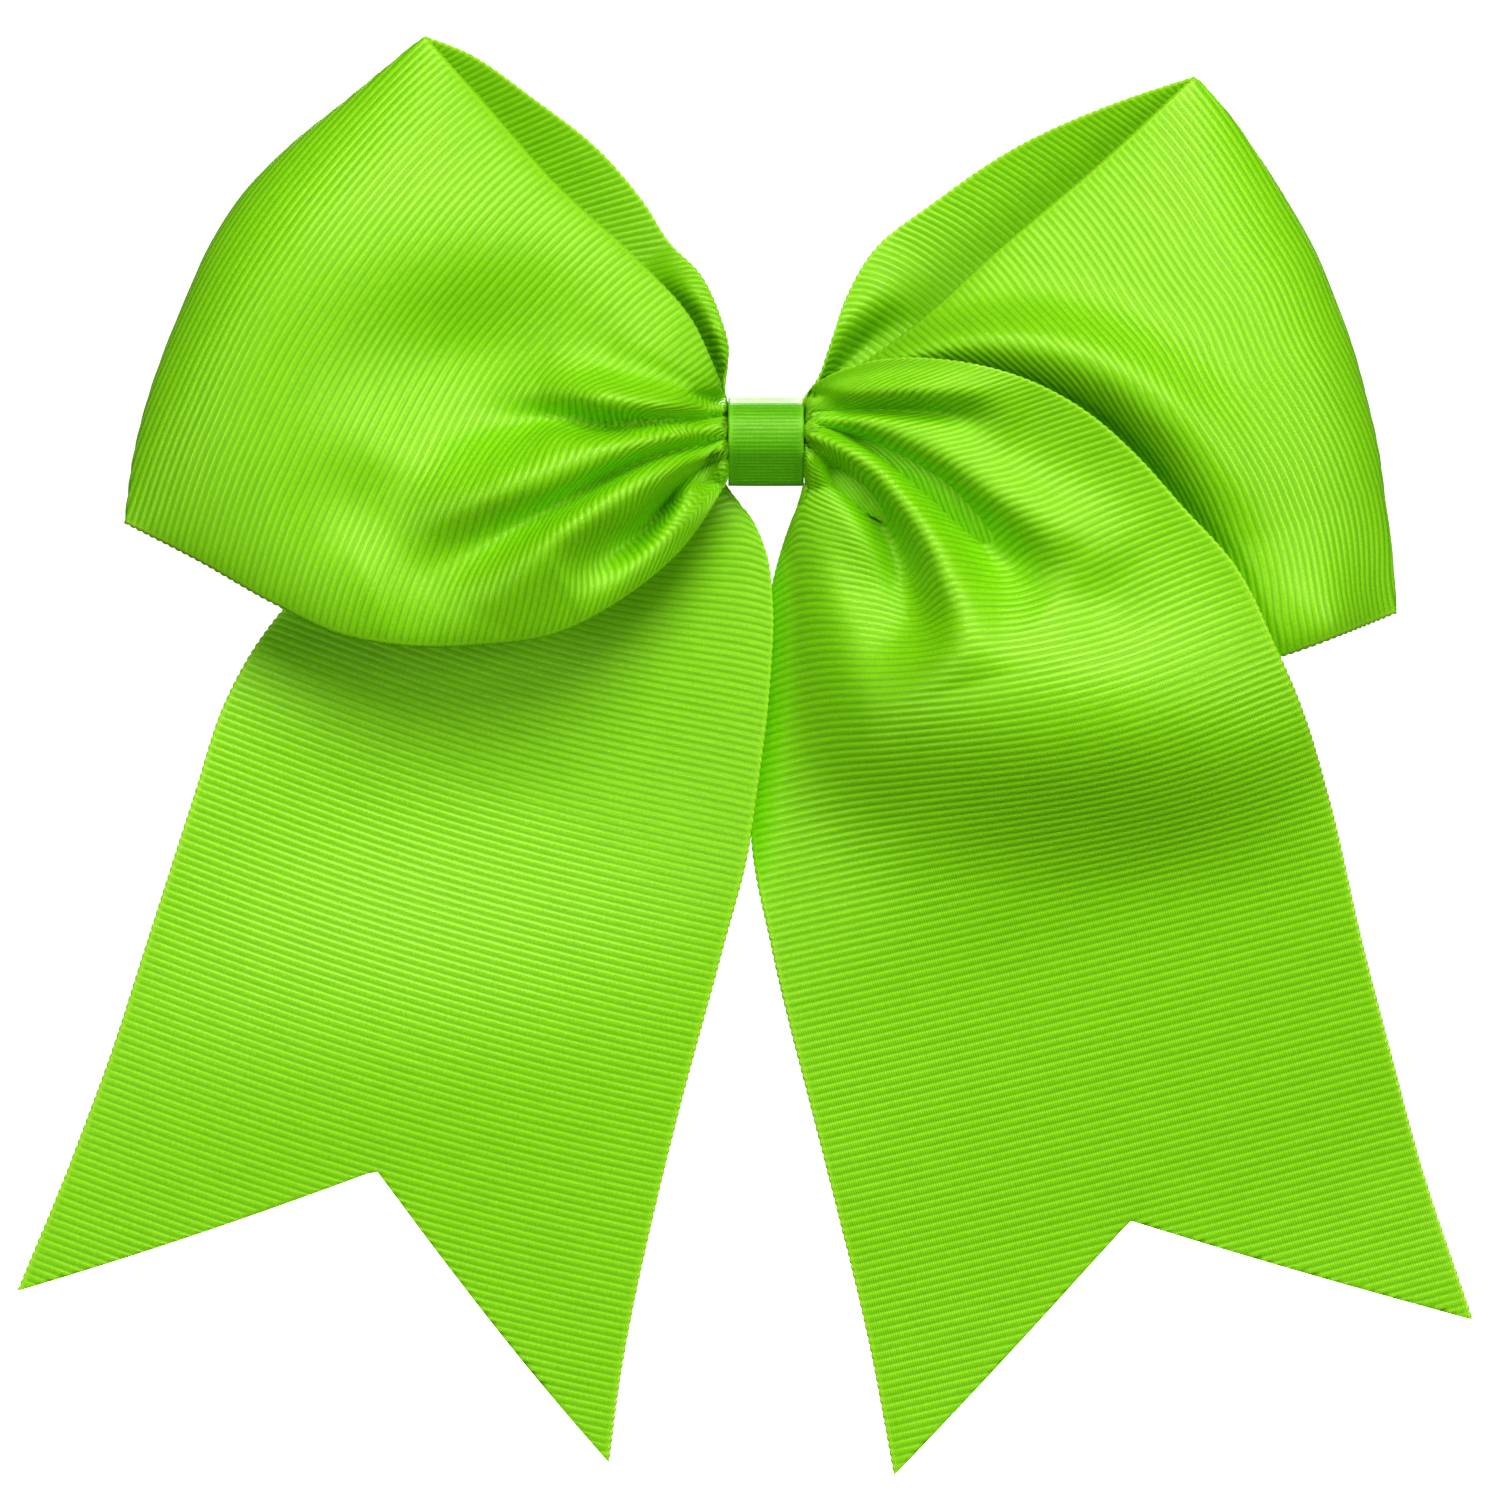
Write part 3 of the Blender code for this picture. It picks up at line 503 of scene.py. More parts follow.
left_front_creases = [
    ([(-5.3, 3.0), (-13.9, 2.5), (-20.8, 1.8), (-27.1, 2.8), (-35, 1.4), (-44.2, -1.4), (-51.8, -1.8)],
     (1.4, 3.6, 6.2, 4.4, 2.5, 1.5, 0), (0.7, 0.9, 1.3, 2.2, 4.5, 6, 8)),
    ([(-5.3, 4.3), (-13.9, 4.7), (-21.8, 5.6), (-29.7, 6.6)], (-0.8, -2.0, -3.4, 0), (0.7, 1.5, 2.2, 4)),
    ([(-5.8, 5.6), (-13.9, 8.2), (-19.2, 9.8), (-27, 13)], (0.8, 1.2, 1.2, 0), (0.8, 2, 3, 5)),
    ([(-5.3, 2.1), (-20.4, -1.3), (-37.2, -7.6), (-47.6, -13.9)], (-1.0, -2.0, -1.8, 0), (0.7, 2, 4.5, 7)),
    ([(-5.7, 0), (-14.1, -2.1), (-20.4, -4.9), (-26.7, -8.4), (-35.1, -12.6), (-43.4, -16.8),
      (-51.8, -20.3)],
     (1.2, 3.8, 6.0, 5.6, 4.2, 2.6, 0), (0.6, 0.9, 1.3, 2.0, 3.4, 5, 7)),
    ([(-5.7, -1.3), (-14.1, -4.7), (-22.5, -9.7), (-28.8, -14.7), (-33, -20.3), (-35.1, -24.5)],
     (-0.8, -2.4, -3.4, -3.2, -2, -0.5), (0.7, 1.8, 3, 4, 5, 6)),
    ([(-5.3, -2.1), (-9.9, -4.2), (-13.3, -8.4), (-16.2, -11.8), (-20.4, -14.7), (-26.7, -18.6)],
     (0.8, 3.4, 6.2, 6.0, 3.4, 0), (0.6, 0.9, 1.4, 2.0, 3, 4)),
    ([(-4.6, -3.3), (-7, -7.5), (-13, -12.5), (-19.5, -18), (-26, -22)], (-0.6, -1.2, -1.5, -1.2, 0),
     (0.8, 1.5, 2.5, 3, 4)),
]
left_front_dents = [((-38, 9.5), (18, 12), 9.0, 14), ((-51, -9), (9, 7), 3.2, -10)]
left_back_creases = [
    ([(-5, 8), (-6.5, 14), (-10, 19.5), (-15, 24)], (-1.5, -4.0, -3.0, 0), (1.5, 2.4, 3, 4)),
    ([(-7, 9), (-11, 15), (-16, 21)], (1.5, 3.5, 0), (1.5, 2.2, 3)),
]
front = loop_side(left_front_low, left_front_high, left_fold, LEFT_FRONT_PUFF, FRONT, left_front_creases,
                  left_front_dents)
back = loop_side(left_back_low, left_back_high, left_fold, LEFT_BACK_PUFF, BACK, left_back_creases)
ribbon_piece("left_loop_ribbon", "left_loop", np.concatenate([front, back[-2::-1]]), LOOP_SQUARE_ROW)


# ---------------------------------------------------------------------------------------------------------
# Right loop. The bow's other loop, from the same length of ribbon, behind the tail that crosses over it. Its
# upper selvage stands forward, so that a deep hollow shows between it and the tail.

RIGHT_FRONT_PUFF = 6.0
RIGHT_BACK_PUFF = 4.5

right_front_low = [
    (3, 0, -3.4), (4.3, 0, -3.8), (5.7, 0, -5), (8, 0, -6.5), (18, 0, -12), (30, -0.5, -21),
    (42, -1.5, -28), (55, -3.5, -30.5), (67, -5, -28.4), (75.5, -3.5, -25.4), (82.9, -0.5, -22.5),
]
right_front_high = [
    (3, 0, 3.4), (4.3, 0, 3.8), (5.4, 0, 5.6), (12, -2.5, 9.5), (17.6, -4, 13.3), (30.8, -4, 25.1),
    (43.9, -2.5, 36.3), (56.4, -0.5, 47.9),
]
right_back_low = [
    (3, 1.2, -3.4), (4.3, 1.6, -3.8), (5.7, 2.6, -5), (8, 3.5, -6), (16, 4.5, -10.5), (28, 6, -18),
    (40, 7, -24), (52, 6.5, -26.5), (65, 4, -25), (74, 1, -23.5), (82.9, -0.5, -22.5),
]
right_back_high = [
    (3, 1.2, 3.4), (4.3, 1.6, 3.8), (5.6, 2.6, 6), (7.3, 3.4, 9), (8.3, 3.8, 12), (10.5, 4.5, 18.6),
    (14.2, 5, 25.1), (22.4, 5, 31.7), (32.2, 3.8, 38.3), (47.2, 1, 44.9), (56.4, -0.5, 47.9),
]
right_fold = [
    (82.9, -22.5), (82.2, -14.3), (81.3, -7.8), (80.4, -1.2), (78.9, 5.4), (77.1, 12), (74.7, 18.6),
    (72, 25.1), (68.3, 31.7), (64.1, 38.3), (59.2, 44.9), (56.4, 47.9),
]
right_front_creases = [
    ([(6.8, 6), (13.4, 9), (22, 12.2), (32.1, 12.8), (42.1, 10.5), (52.2, 4), (59, -5), (63, -14)],
     (-1, -2.5, -4, -5, -5, -4.5, -3, -1), (1, 2, 3, 4.5, 5.5, 6, 7, 8)),
    ([(12, 5), (22, 6), (32, 4), (42, -1), (50, -8), (56, -16), (59, -24)], (0.5, 2.5, 5, 6.5, 6, 4.5, 2),
     (1.5, 2.6, 3.6, 4.5, 4.8, 4.5, 4)),
]
right_back_creases = [
    ([(7, 10), (10, 15), (14, 19), (20, 24)], (-1.2, -1.8, -1.5, 0), (2, 3, 4, 5)),
    ([(8, 8), (13, 13), (19, 18)], (1.2, 2.0, 0), (1.5, 2.5, 3)),
]
right_front_dents = [((73, -25), (11, 9), -4.5, 0)]
front = loop_side(right_front_low, right_front_high, right_fold, RIGHT_FRONT_PUFF, FRONT,
                  right_front_creases, right_front_dents)
back = loop_side(right_back_low, right_back_high, right_fold, RIGHT_BACK_PUFF, BACK, right_back_creases)
ribbon_piece("right_loop_ribbon", "right_loop", np.concatenate([front, back[-2::-1]]), LOOP_SQUARE_ROW)


# ---------------------------------------------------------------------------------------------------------
# Right tail. The ribbon's front end: it starts over the waist, lies across the right loop and hangs down.
# Its end is cut in a V and the cut is sealed with heat.

TAIL_ROWS = 360
TAIL_SQUARE_ROW = 300
RIGHT_NOTCH = (0.49, 24.4)


def hanging(first_selvage, last_selvage, crown, creases, dents=()):
    """A tail from the waist to its end, bent by its crown and gathered at the front or back of the waist."""
    grid = between(first_selvage, last_selvage, np.linspace(0, 1, TAIL_ROWS))
    grid[:, :, 1] += crown(grid[:, :, 2], ACROSS)
    bundled(grid, FRONT if first_selvage[0][1] < 0 else BACK)
    return shaped(grid, creases, dents)


def right_crown(height, across):
    """The tail arches 8 mm forward over the right loop's lower edge and 2 mm along its shoulder."""
    arch = np.sin(math.pi * across)
    over_loop = 8 * np.exp(-((height + 34) / 15) ** 2) * arch * ease(across, 0.0, 0.3)
    shoulder = 2 * ease(-height, 2, 14) * (1 - ease(-height, 40, 60)) * arch
    return -over_loop - shoulder


right_tail_inner = [
    (3, -1.2, -3.4), (4.3, -1.2, -3.8), (5.4, -1.6, -5.4), (5.2, -1.2, -7), (4.2, 0.5, -9),
    (2.1, 3.5, -14.3), (1.2, 5, -17.6), (-0.1, 6, -26.2), (-1.4, 6.3, -40.7), (-1.8, 6, -52.5),
    (0.9, 5.2, -67), (7.4, 5, -93.3), (13.8, 6, -119.6), (17, 6, -136.4),
]
right_tail_outer = [
    (3, -1.2, 3.4), (4.3, -1.2, 3.8), (5.4, -2, 6.2), (8, -5, 8.2), (13.7, -8, 10.2), (24.2, -11, 10.2),
    (34.7, -12.5, 7.4), (41.3, -12.8, 3.8), (47.9, -12.6, -1.8), (54.5, -12.4, -9.1),
    (61, -12.2, -16.3), (67, -11, -28.2), (69.6, -9, -34.1), (73.9, -3, -47.2), (78.7, 1, -67),
    (82.2, 3, -80.1), (85.8, 5, -93.3), (93.3, 6, -115.9),
]
right_tail_creases = [
    ([(5, 4.8), (11, 6.2), (18, 6.4), (27, 5.4), (34, 2.5)], (-1, -2.2, -3.2, -2.4, 0),
     (0.9, 1.4, 2.0, 3.0, 5)),
    ([(4.9, 3.4), (12, 3.9), (22, 3.8), (32.1, 2.5)], (0.8, 2.6, 3.0, 0), (0.6, 0.9, 1.2, 3.5)),
    ([(4.9, 3.3), (14, 2), (22, -1.5), (30, -7), (38, -13), (46, -19)], (-0.7, -1.8, -2.8, -3.4, -2.8, 0),
     (0.7, 1.8, 3.2, 4.4, 5.5, 6.5)),
    ([(4.9, 2.6), (12, 0.3), (17, -2.6), (22, -6.2), (27, -11), (32.1, -16), (38, -21)],
     (0.8, 3.0, 5.2, 6.4, 5.8, 3.6, 0), (0.6, 0.9, 1.4, 2.0, 2.8, 4.2, 6)),
    ([(4.9, 1.4), (10, -1), (14.2, -3.6), (18.2, -9), (22.1, -16.5), (24.5, -24), (27, -32)],
     (-0.8, -2, -3.4, -4.6, -4.6, -3, 0), (0.8, 1.4, 2.0, 2.8, 3.6, 4.6, 6)),
    ([(4.9, 0.2), (9.3, -4.4), (13.9, -8.6), (17, -13), (19, -18), (20.8, -23), (22, -29)],
     (0.8, 3.4, 5.8, 6.6, 6.0, 4, 0), (0.6, 1.2, 1.9, 2.6, 3.2, 3.8, 4)),
    ([(10, -13), (14, -20), (17, -27), (20, -33)], (0.5, 2, 2, 0), (3, 4, 5, 6)),
]
right_tail_dents = [((43.3, -21.7), (7, 5), 1.3, -30)]
grid = hanging(right_tail_inner, right_tail_outer, right_crown, right_tail_creases, right_tail_dents)
ribbon_piece("right_tail_ribbon", "right_tail", grid, TAIL_SQUARE_ROW, RIGHT_NOTCH)


# ---------------------------------------------------------------------------------------------------------
# Left tail. The ribbon's back end: it leaves the waist at the very back and hangs behind the left loop, with
# its inner selvage in front of the right tail's.

LEFT_NOTCH = (0.506, 28.5)


def left_crown(height, across):
    """The tail is pressed 3 mm back by the loop in front of it and comes 1 mm forward again below."""
    pressed_back = 3 * np.exp(-((height + 48) / 16) ** 2)
    forward_again = np.exp(-((height + 80) / 16) ** 2)
    return (pressed_back - forward_again) * np.sin(math.pi * across)


left_tail_outer = [
    (-3, 1.2, 3.4), (-4.3, 1.6, 3.8), (-6, 2.8, 4.4), (-12, 3.8, 2), (-24, 4.8, -1.5), (-38, 7.5, -5.5),
    (-52, 9.8, -12), (-62, 10.4, -20), (-67.9, 10.5, -27.5), (-71.4, 9.5, -34.1), (-75.7, 8, -47.2),
    (-82, 6.5, -67), (-86.2, 6, -80.1), (-91.1, 6, -93.3), (-98.8, 6, -112.1),
]
left_tail_inner = [
    (-3, 1.2, -3.4), (-4.3, 1.6, -3.8), (-5.5, 2.6, -5.4), (-5.2, 3, -7), (-2.8, 3, -9),
    (-0.1, 2.2, -14.3), (0.8, 2, -20.9), (0.5, 2, -31.4), (-1.4, 2.3, -47.2), (-2.4, 2.5, -53.8),
    (-5.8, 3.3, -67), (-12.8, 4.5, -93.3), (-19.7, 5.5, -126.2), (-20.8, 5.5, -134.7),
]
grid = hanging(left_tail_outer, left_tail_inner, left_crown, [])
ribbon_piece("left_tail_ribbon", "left_tail", grid, TAIL_SQUARE_ROW, LEFT_NOTCH)


# ---------------------------------------------------------------------------------------------------------
# Waist and thread. Under the centre wrap all the ribbon's layers are folded into one tight bundle of pleats,
# bound with three turns of polyester thread.

WAIST_HALF = 4.6
PLEATS = 9
PLEAT_DEPTH = 0.14
THREAD_PINCH = 0.06


def waist_mesh():
    """The bundle: rounded pleats along its outside, pinched a little in the middle by the thread."""
    rings, corners = 25, 162
    points = []
    for x in np.linspace(-WAIST_HALF, WAIST_HALF, rings):
        pinch = 1 - THREAD_PINCH * math.exp(-(x / 1.4) ** 2)
        for k in range(corners):
            angle = 2 * math.pi * k / corners
            pleat = abs(math.cos(PLEATS * angle / 2 + 0.3 * math.sin(2 * angle)))
            radius = WAIST_RADIUS * pinch * (1 - PLEAT_DEPTH + PLEAT_DEPTH * pleat ** 0.6)
            points.append((x, radius * math.cos(angle), radius * math.sin(angle)))
    faces = []
    for ring in range(rings - 1):
        for k in range(corners):
            j = (k + 1) % corners
            base = ring * corners
            faces.append((base + k, base + j, base + corners + j, base + corners + k))
    faces.append(tuple(range(corners)))
    faces.append(tuple(range((rings - 1) * corners, rings * corners)))
    mesh = bpy.data.meshes.new("gathered_waist_pleats")
    mesh.from_pydata(metres(points).tolist(), [], faces)
    return mesh


def outward(mesh):
    """Turns every face of a closed mesh outwards."""
    shell = bmesh.new()
    shell.from_mesh(mesh)
    bmesh.ops.recalc_face_normals(shell, faces=shell.faces)
    shell.to_mesh(mesh)
    shell.free()
    return mesh


def linked(name, mesh, material, body, node):
    """An object for a finished mesh, riding on a body and standing for its CAD node."""
    mesh.materials.clear()
    mesh.materials.append(material)
    made = bpy.data.objects.new(name, mesh)
    bpy.context.scene.collection.objects.link(made)
    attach(made, body)
    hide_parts(node)


waist = outward(waist_mesh())
waist.shade_smooth()
middle = RIBBON_WIDTH / 2
add_attribute(waist, "weave", [(middle + v.co.z / MM, v.co.x / MM, 0) for v in waist.vertices])
linked("gathered_waist_pleats", waist, LIME_GROSGRAIN, "bow", "gathered_waist")

THREAD_RADIUS = 0.28
THREAD_TURNS = 3


def winding_tree():
    """A cord wound in a helix about X: a spiral line swept with the cord's round section."""
    tree = bpy.data.node_groups.new("wound_cord", "GeometryNodeTree")
    sockets = tree.interface
    for name in ("Turns", "Coil Radius", "Coil Length", "Cord Radius"):
        sockets.new_socket(name, in_out="INPUT", socket_type="NodeSocketFloat")
    sockets.new_socket("Steps", in_out="INPUT", socket_type="NodeSocketInt")
    sockets.new_socket("Material", in_out="INPUT", socket_type="NodeSocketMaterial")
    sockets.new_socket("Geometry", in_out="OUTPUT", socket_type="NodeSocketGeometry")
    given = add(tree, "NodeGroupInput").outputs
    line = add(tree, "GeometryNodeCurveSpiral", {
        "Resolution": given["Steps"], "Rotations": given["Turns"], "Start Radius": given["Coil Radius"],
        "End Radius": given["Coil Radius"], "Height": given["Coil Length"]})
    section = add(tree, "GeometryNodeCurvePrimitiveCircle", {
        "Resolution": 10, "Radius": given["Cord Radius"]})
    cord = add(tree, "GeometryNodeCurveToMesh", {"Curve": line, "Profile Curve": section, "Fill Caps": True})
    whole = add(tree, "GeometryNodeRealizeInstances", {"Geometry": cord})
    dyed = add(tree, "GeometryNodeSetMaterial", {"Geometry": whole, "Material": given["Material"]})
    add(tree, "NodeGroupOutput", {0: dyed})
    return tree


def spun_thread():
    """Bonded polyester thread of three plies: a soft shine broken by the slant of the plies."""
    made, tree, shader = new_material("spun_polyester_thread")
    place = add(tree, "ShaderNodeTexCoord").outputs["Object"]
    # One ply crosses every 0.7 mm, so the three twist once round in about 2 mm.
    twist = add(tree, "ShaderNodeTexWave", {"Vector": place, "Scale": 900.0, "Distortion": 1.0},
                bands_direction="DIAGONAL").outputs["Fac"]
    # Darker and lighter green in diagonal bands along the plies.
    ply_band_colour = add(tree, "ShaderNodeMix", {"Factor": twist, "A": srgb("#5f9e1e"), "B": srgb("#8fd83a")},
              data_type="RGBA")
    tree.links.new(ply_band_colour.outputs["Result"], shader.inputs["Base Color"])
    bump = add(tree, "ShaderNodeBump", {"Strength": 0.5, "Distance": 0.1 * MM, "Height": twist})
    tree.links.new(bump.outputs[0], shader.inputs["Normal"])
    shader.inputs["Roughness"].default_value = 0.5
    return made


holder = bpy.data.objects.new("thread_holder", bpy.data.meshes.new("thread_holder"))
bpy.context.scene.collection.objects.link(holder)
thread_length = THREAD_TURNS * 2 * THREAD_RADIUS
grown(holder, winding_tree(), {
    "Turns": float(THREAD_TURNS), "Coil Radius": (WAIST_RADIUS + THREAD_RADIUS) * MM,
    "Coil Length": thread_length * MM, "Cord Radius": THREAD_RADIUS * MM, "Steps": 120,
    "Material": spun_thread()})
thread = holder.data
bpy.data.objects.remove(holder)
thread_start = Matrix.Translation(metres([(-thread_length / 2, 0, 0)])[0])
thread.transform(thread_start @ Matrix.Rotation(math.pi / 2, 4, "Y"))
outward(thread)
thread.shade_smooth()
linked("gather_thread_turns", thread, thread.materials[0], "bow", "gather_thread")


# ---------------------------------------------------------------------------------------------------------
# Centre wrap. A 10 mm grosgrain ribbon wound tightly round the waist and the clip's arm. Its end laps over
# its start behind, where a line of hot glue holds it.

# Pulled tight, the ribbon is a little narrower than it was cut.
WRAP_WIDTH = 9.8
WRAP_RIB_PITCH = 0.55
WRAP_RIB_HEIGHT = 0.05
WRAP_SCALLOP = 0.06
WRAP_LAP = 7.0
LAP_LIFT = 0.52
LAP_CLIMB = 2.0
WRAP_STEP = 0.25
WRAP_INNER = 22
WRAP_SQUARE_ROW = 40

# What the wrap is pulled tight round: the centre (y, z) and radius of each rounded corner. They are the
# waist's front, its upper and lower shoulders, and the two edges of the clip's arm.
BELT = ((-1.3, 0.9, 4.2), (0.2, 3.2, 2.5), (0.2, -3.8, 1.95), (6.05, -3.4, 1.52), (6.05, 3.4, 1.52))


def belt_point(angle):
    """The (y, z) of a taut band round the waist and the arm's two edges, where it faces the given way."""
    ny, nz = math.cos(angle), math.sin(angle)
    y, z, radius = max(BELT, key=lambda round_part: round_part[0] * ny + round_part[1] * nz + round_part[2])
    return y + radius * ny, z + radius * nz


def wrap_grid():
    """Points on the wrap: once round from the middle of the back, and on over the start by the lap."""
    ring = np.array([belt_point(a) for a in np.linspace(0, 2 * math.pi, 721)])
    run = np.concatenate([[0], np.cumsum(np.linalg.norm(np.diff(ring, axis=0), axis=1))])
    total = run[-1]
    at = np.arange(0, total + WRAP_LAP, WRAP_STEP)
    middle = np.stack([np.interp(at % total, run, ring[:, axis]) for axis in (0, 1)], axis=1)
    ahead = np.gradient(middle, axis=0)
    ahead /= np.linalg.norm(ahead, axis=1)[:, None]
    normal = np.stack([ahead[:, 1], -ahead[:, 0]], axis=1)
    normal *= np.sign((normal * middle).sum(axis=1))[:, None]
    # Just before the end laps over the start it climbs by a little more than the ribbed ribbon's thickness.
    lap_start = total - 0.5
    middle += LAP_LIFT * ease(at, lap_start - LAP_CLIMB, lap_start)[:, None] * normal
    grid = np.empty((len(at), len(WRAP_ACROSS), 3))
    grid[:, :, 0] = (WRAP_ACROSS - 0.5) * WRAP_WIDTH
    grid[:, :, 1:] = middle[:, None]
    return grid


WRAP_ACROSS = columns(WRAP_WIDTH, WRAP_INNER)
# The first colour is a painted highlight on the rib tops, the second painted shade between the ribs.
FINE_GROSGRAIN = grosgrain("lime_narrow_grosgrain", pale_rib_top_highlight="#72cc1a", rib_valley_shade="#4aa208", selvage="#78d020",
                           width=WRAP_WIDTH, pitch=WRAP_RIB_PITCH, warp=0.16)
grid = wrap_grid()
run = run_along(grid, WRAP_SQUARE_ROW)
wrap = woven_sheet("centre_wrap_ribbon", grid, run, run[-1], WRAP_ACROSS, WRAP_WIDTH, WRAP_RIB_PITCH)
wrap = ribbed(wrap, WRAP_WIDTH, FINE_GROSGRAIN, WRAP_RIB_PITCH, WRAP_RIB_HEIGHT, WRAP_SCALLOP)
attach(wrap, "bow")
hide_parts("centre_wrap")


# ---------------------------------------------------------------------------------------------------------
# Hot glue. A pad of hot-melt squeezed out between the waist and the clip's arm. It is run on molten and sets
# cloudy and smooth, with rounded edges where it flowed.

GLUE_HALF = (4.3, 0.34, 2.7)
GLUE_MIDDLE = (0, HAIR_FACE - 1.25, 0)
GLUE_SQUARENESS = 1.6


def hot_melt():
    """EVA hot-melt glue, cooled in the open: milky, slightly see-through, with a soft wet shine."""
    made, tree, shader = new_material("eva_hot_melt_glue")
    place = add(tree, "ShaderNodeTexCoord").outputs["Object"]
    # The clouds are about 2.5 mm across.
    cloud = add(tree, "ShaderNodeTexNoise", {"Vector": place, "Scale": 400.0, "Detail": 3.0})
    tone = add(tree, "ShaderNodeMix", {"Factor": cloud, "A": srgb("#e6e2d2"), "B": srgb("#f6f3ea")},
               data_type="RGBA")
    tree.links.new(tone.outputs["Result"], shader.inputs["Base Color"])
    bump = add(tree, "ShaderNodeBump", {"Strength": 0.3, "Distance": 0.3 * MM, "Height": cloud})
    tree.links.new(bump.outputs[0], shader.inputs["Normal"])
    shader.inputs["Roughness"].default_value = 0.28
    shader.inputs["IOR"].default_value = 1.48
    shader.inputs["Subsurface Weight"].default_value = 0.3
    shader.inputs["Subsurface Scale"].default_value = 1 * MM
    return made


def flowed_pad(middle, half, squareness):
    """A flowed drop with rounded sides, as points of a squared-off ball."""
    shell = bmesh.new()
    bmesh.ops.create_uvsphere(shell, u_segments=48, v_segments=24, radius=1.0)
    for corner in shell.verts:
        squared = [math.copysign(abs(c) ** (1 / squareness), c) for c in corner.co]
        ripple = 1 + 0.03 * math.sin(5 * corner.co.x + 2) * math.cos(4 * corner.co.z)
        corner.co = metres([[middle[k] + half[k] * squared[k] * ripple for k in range(3)]])[0]
    mesh = bpy.data.meshes.new("glue_pad_flowed")
    shell.to_mesh(mesh)
    shell.free()
    mesh.shade_smooth()
    return mesh


pad = outward(flowed_pad(GLUE_MIDDLE, GLUE_HALF, GLUE_SQUARENESS))
linked("glue_pad_flowed", pad, hot_melt(), "bow", "glue_pad")


# ---------------------------------------------------------------------------------------------------------
# Clip. A stock 48 mm alligator clip: both halves are pressed from 0.6 mm steel strip, deburred and nickel
# plated. A rivet through the ears is the hinge, and a torsion spring round it holds the jaw shut.

TUMBLED_EDGE = 0.12


def nickel_plate():
    """Bright nickel over pressed steel, tumbled before plating: a warm satin mirror with a faint grain."""
    made, tree, shader = new_material("nickel_plated_pressed_steel")
    place = add(tree, "ShaderNodeTexCoord").outputs["Object"]
    # Rolling grain 3.3 mm long and 0.6 mm wide, drawn coarser than the real one, which is too fine to show,
    # and tumbling blotches 5.5 mm across.
    grain_at = add(tree, "ShaderNodeMapping", {"Vector": place, "Scale": (300.0, 1600.0, 1600.0)})
    grain = add(tree, "ShaderNodeTexNoise", {"Vector": grain_at, "Scale": 1.0, "Detail": 4.0})
    blotch = add(tree, "ShaderNodeTexNoise", {"Vector": place, "Scale": 180.0, "Detail": 2.0})
    tone = add(tree, "ShaderNodeMix", {"Factor": blotch, "A": srgb("#cfccc4"), "B": srgb("#e2dfd8")},
               data_type="RGBA")
    tree.links.new(tone.outputs["Result"], shader.inputs["Base Color"])
    rough = add(tree, "ShaderNodeMath", {0: grain, 1: 0.2, 2: 0.28}, operation="MULTIPLY_ADD")
    tree.links.new(rough.outputs[0], shader.inputs["Roughness"])
    bump = add(tree, "ShaderNodeBump", {"Strength": 0.15, "Distance": 0.03 * MM, "Height": grain})
    tree.links.new(bump.outputs[0], shader.inputs["Normal"])
    shader.inputs["Metallic"].default_value = 1.0
    return made


def music_wire():
    """Drawn spring wire with a thin nickel flash: darker than the pressed parts, with fine draw lines."""
    made, tree, shader = new_material("drawn_spring_wire")
    place = add(tree, "ShaderNodeTexCoord").outputs["Object"]
    # Draw marks 0.4 mm apart, coarser than the real ones, which are too fine to show.
    marks = add(tree, "ShaderNodeTexNoise", {"Vector": place, "Scale": 2500.0, "Detail": 2.0})
    tone = add(tree, "ShaderNodeMix", {"Factor": marks, "A": srgb("#8d8e92"), "B": srgb("#b4b5b8")},
               data_type="RGBA")
    tree.links.new(tone.outputs["Result"], shader.inputs["Base Color"])
    rough = add(tree, "ShaderNodeMath", {0: marks, 1: 0.2, 2: 0.22}, operation="MULTIPLY_ADD")
    tree.links.new(rough.outputs[0], shader.inputs["Roughness"])
    shader.inputs["Metallic"].default_value = 1.0
    return made


def merged(node, name):
    """A copy of a CAD node's mesh with its loose triangles joined up."""
    shell = bmesh.new()
    shell.from_mesh(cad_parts[node].data)
    bmesh.ops.remove_doubles(shell, verts=shell.verts, dist=2e-6)
    bmesh.ops.dissolve_limit(shell, angle_limit=math.radians(1), verts=shell.verts, edges=shell.edges)
    mesh = bpy.data.meshes.new(name)
    shell.to_mesh(mesh)
    shell.free()
    return mesh


def pressed(node):
    """A pressed part's mesh, from its own solid, with its edges rounded by tumbling."""
    made = bpy.data.objects.new(node, merged(node, node + "_pressed"))
    bpy.context.scene.collection.objects.link(made)
    modifier = made.modifiers.new("tumbled_edges", "BEVEL")
    modifier.width = TUMBLED_EDGE * MM
    modifier.segments = 2
    modifier.limit_method = "ANGLE"
    modifier.angle_limit = math.radians(30)
    bpy.context.view_layer.update()
    graph = bpy.context.evaluated_depsgraph_get()
    mesh = bpy.data.meshes.new_from_object(made.evaluated_get(graph), depsgraph=graph)
    bpy.data.objects.remove(made)
    mesh.shade_smooth()
    mesh.set_sharp_from_angle(angle=math.radians(35))
    return mesh


NICKEL = nickel_plate()
for node, body in (("clip_arm", "bow"), ("clip_jaw", "jaw"), ("clip_pin", "bow")):
    linked(node + "_pressed", pressed(node), NICKEL, body, node)

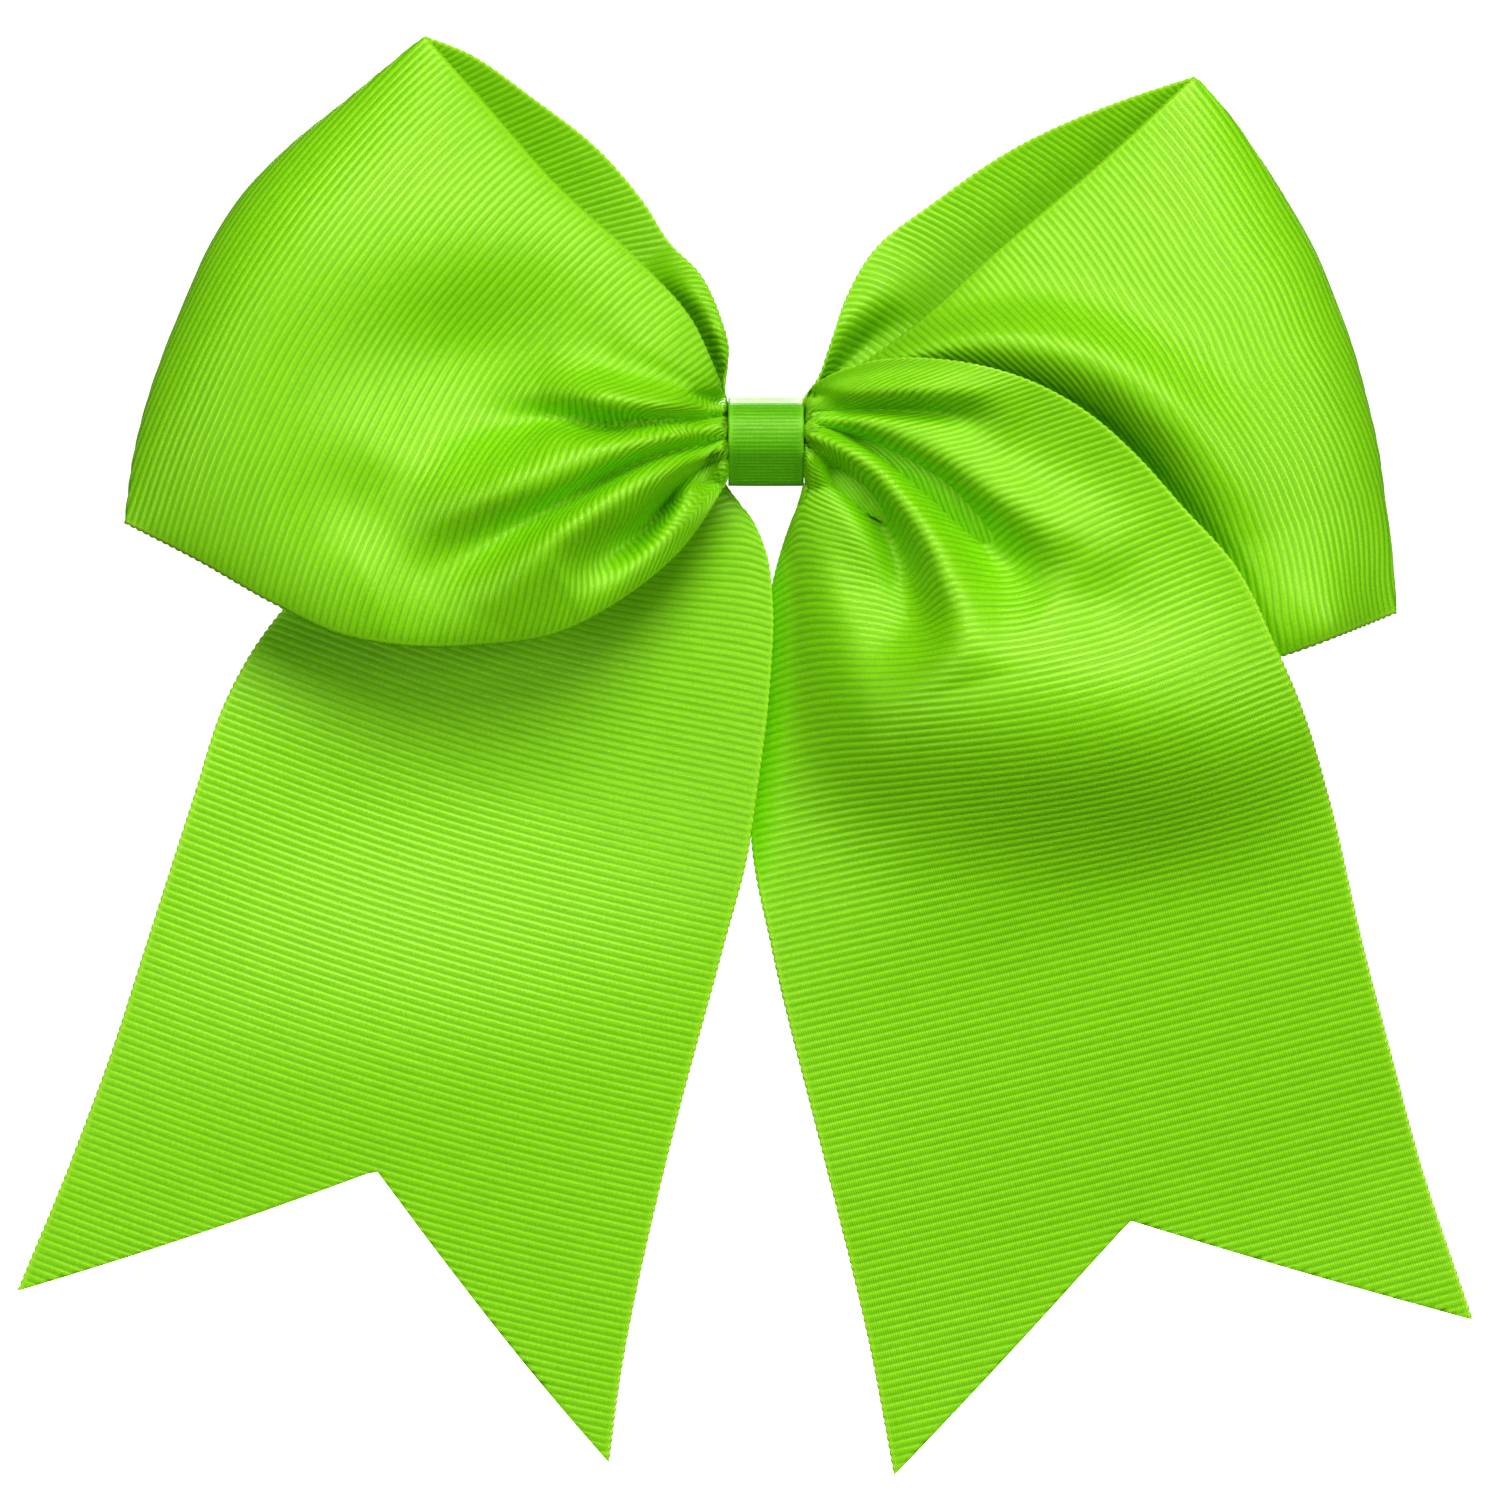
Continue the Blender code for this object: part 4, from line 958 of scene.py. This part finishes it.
# The spring's coils climb along the pin, between its lower leg at the arm and its upper leg at the jaw's
# thumb end. The wire stays where its solid is and rides on no body.
wire = merged("clip_spring", "clip_spring_wire")
wire.shade_smooth()
wire.set_sharp_from_angle(angle=math.radians(50))
wire.materials.clear()
wire.materials.append(music_wire())
spring = bpy.data.objects.new("clip_spring_wire", wire)
bpy.context.scene.collection.objects.link(spring)
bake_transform(spring)
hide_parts("clip_spring")


# ---------------------------------------------------------------------------------------------------------
# Table, light and camera. A plain white table and room, a large soft light in front and above, a fill at
# each side and one behind. The table and the lights are placed in metres.

TABLE_HALF = 3.0
TABLE_GAP = 0.0006
WHITE = (1, 1, 1, 1)


def studio_white():
    """Matt white laminate: no shine, and the faintest unevenness."""
    made, tree, shader = new_material("matt_white_table")
    place = add(tree, "ShaderNodeTexCoord").outputs["Object"]
    # Clouds of tone about 33 mm across.
    grain = add(tree, "ShaderNodeTexNoise", {"Vector": place, "Scale": 30.0})
    tone = add(tree, "ShaderNodeMix", {"Factor": grain, "A": srgb("#f4f4f2"), "B": srgb("#fafaf8")},
               data_type="RGBA")
    tree.links.new(tone.outputs["Result"], shader.inputs["Base Color"])
    shader.inputs["Roughness"].default_value = 0.8
    shader.inputs["Emission Color"].default_value = WHITE
    shader.inputs["Emission Strength"].default_value = 1.0
    return made


table_top = cad_box[0][2] - TABLE_GAP
corners = ((-1, -1), (1, -1), (1, 1), (-1, 1))
table_corners = [(x * TABLE_HALF, y * TABLE_HALF, table_top) for x, y in corners]
table = bpy.data.meshes.new("table")
table.from_pydata(table_corners, [], [(0, 1, 2, 3)])
table.materials.append(studio_white())
floor = bpy.data.objects.new("table", table)
bpy.context.scene.collection.objects.link(floor)
floor.visible_diffuse = False
floor.visible_glossy = False

# The room's walls look white but give little light.
ROOM_LIGHT = 0.12
ROOM_SEEN = 1.05
world = bpy.data.worlds.new("studio")
bpy.context.scene.world = world
world.use_nodes = True
background = world.node_tree.nodes["Background"]
seen = add(world.node_tree, "ShaderNodeLightPath").outputs["Is Camera Ray"]
strength = add(world.node_tree, "ShaderNodeMapRange", {0: seen, 3: ROOM_LIGHT, 4: ROOM_SEEN})
world.node_tree.links.new(strength.outputs[0], background.inputs["Strength"])
background.inputs["Color"].default_value = WHITE


def soft_light(name, place, size, watts):
    """A round soft box aimed at the bow's middle."""
    light = bpy.data.lights.new(name, "AREA")
    light.shape = "DISK"
    light.size = size
    light.energy = watts
    made = bpy.data.objects.new(name, light)
    made.location = place
    made.rotation_euler = (Vector(BOW_MIDDLE) - Vector(place)).to_track_quat("-Z", "Y").to_euler()
    bpy.context.scene.collection.objects.link(made)


BOW_MIDDLE = (0, 0, -0.03)
soft_light("key", (0.0, -1.0, 0.75), size=0.8, watts=9.4)
soft_light("left_fill", (-1.0, -1.1, -0.15), size=0.9, watts=4.9)
soft_light("right_fill", (1.0, -1.1, 0.05), size=0.9, watts=8.3)
soft_light("back", (0.1, 1.1, 0.5), size=0.9, watts=14)

# The camera looks straight at the bow's front from CAMERA_AWAY and takes in FRAME_WIDTH at that distance.
CAMERA_AWAY = 1600.0
CAMERA_SIDE = -2.1053
CAMERA_HEIGHT = -40.6579
FRAME_WIDTH = 197.4
camera = bpy.data.cameras.new("camera")
camera.lens = camera.sensor_width * CAMERA_AWAY / FRAME_WIDTH
camera.clip_end = 20
view = bpy.data.objects.new("camera", camera)
view.location = metres([(CAMERA_SIDE, -CAMERA_AWAY, CAMERA_HEIGHT)])[0]
view.rotation_euler = (math.pi / 2, 0, 0)
bpy.context.scene.collection.objects.link(view)
bpy.context.scene.camera = view
bpy.context.scene.view_settings.view_transform = "Standard"
bpy.context.scene.view_settings.look = "Medium High Contrast"
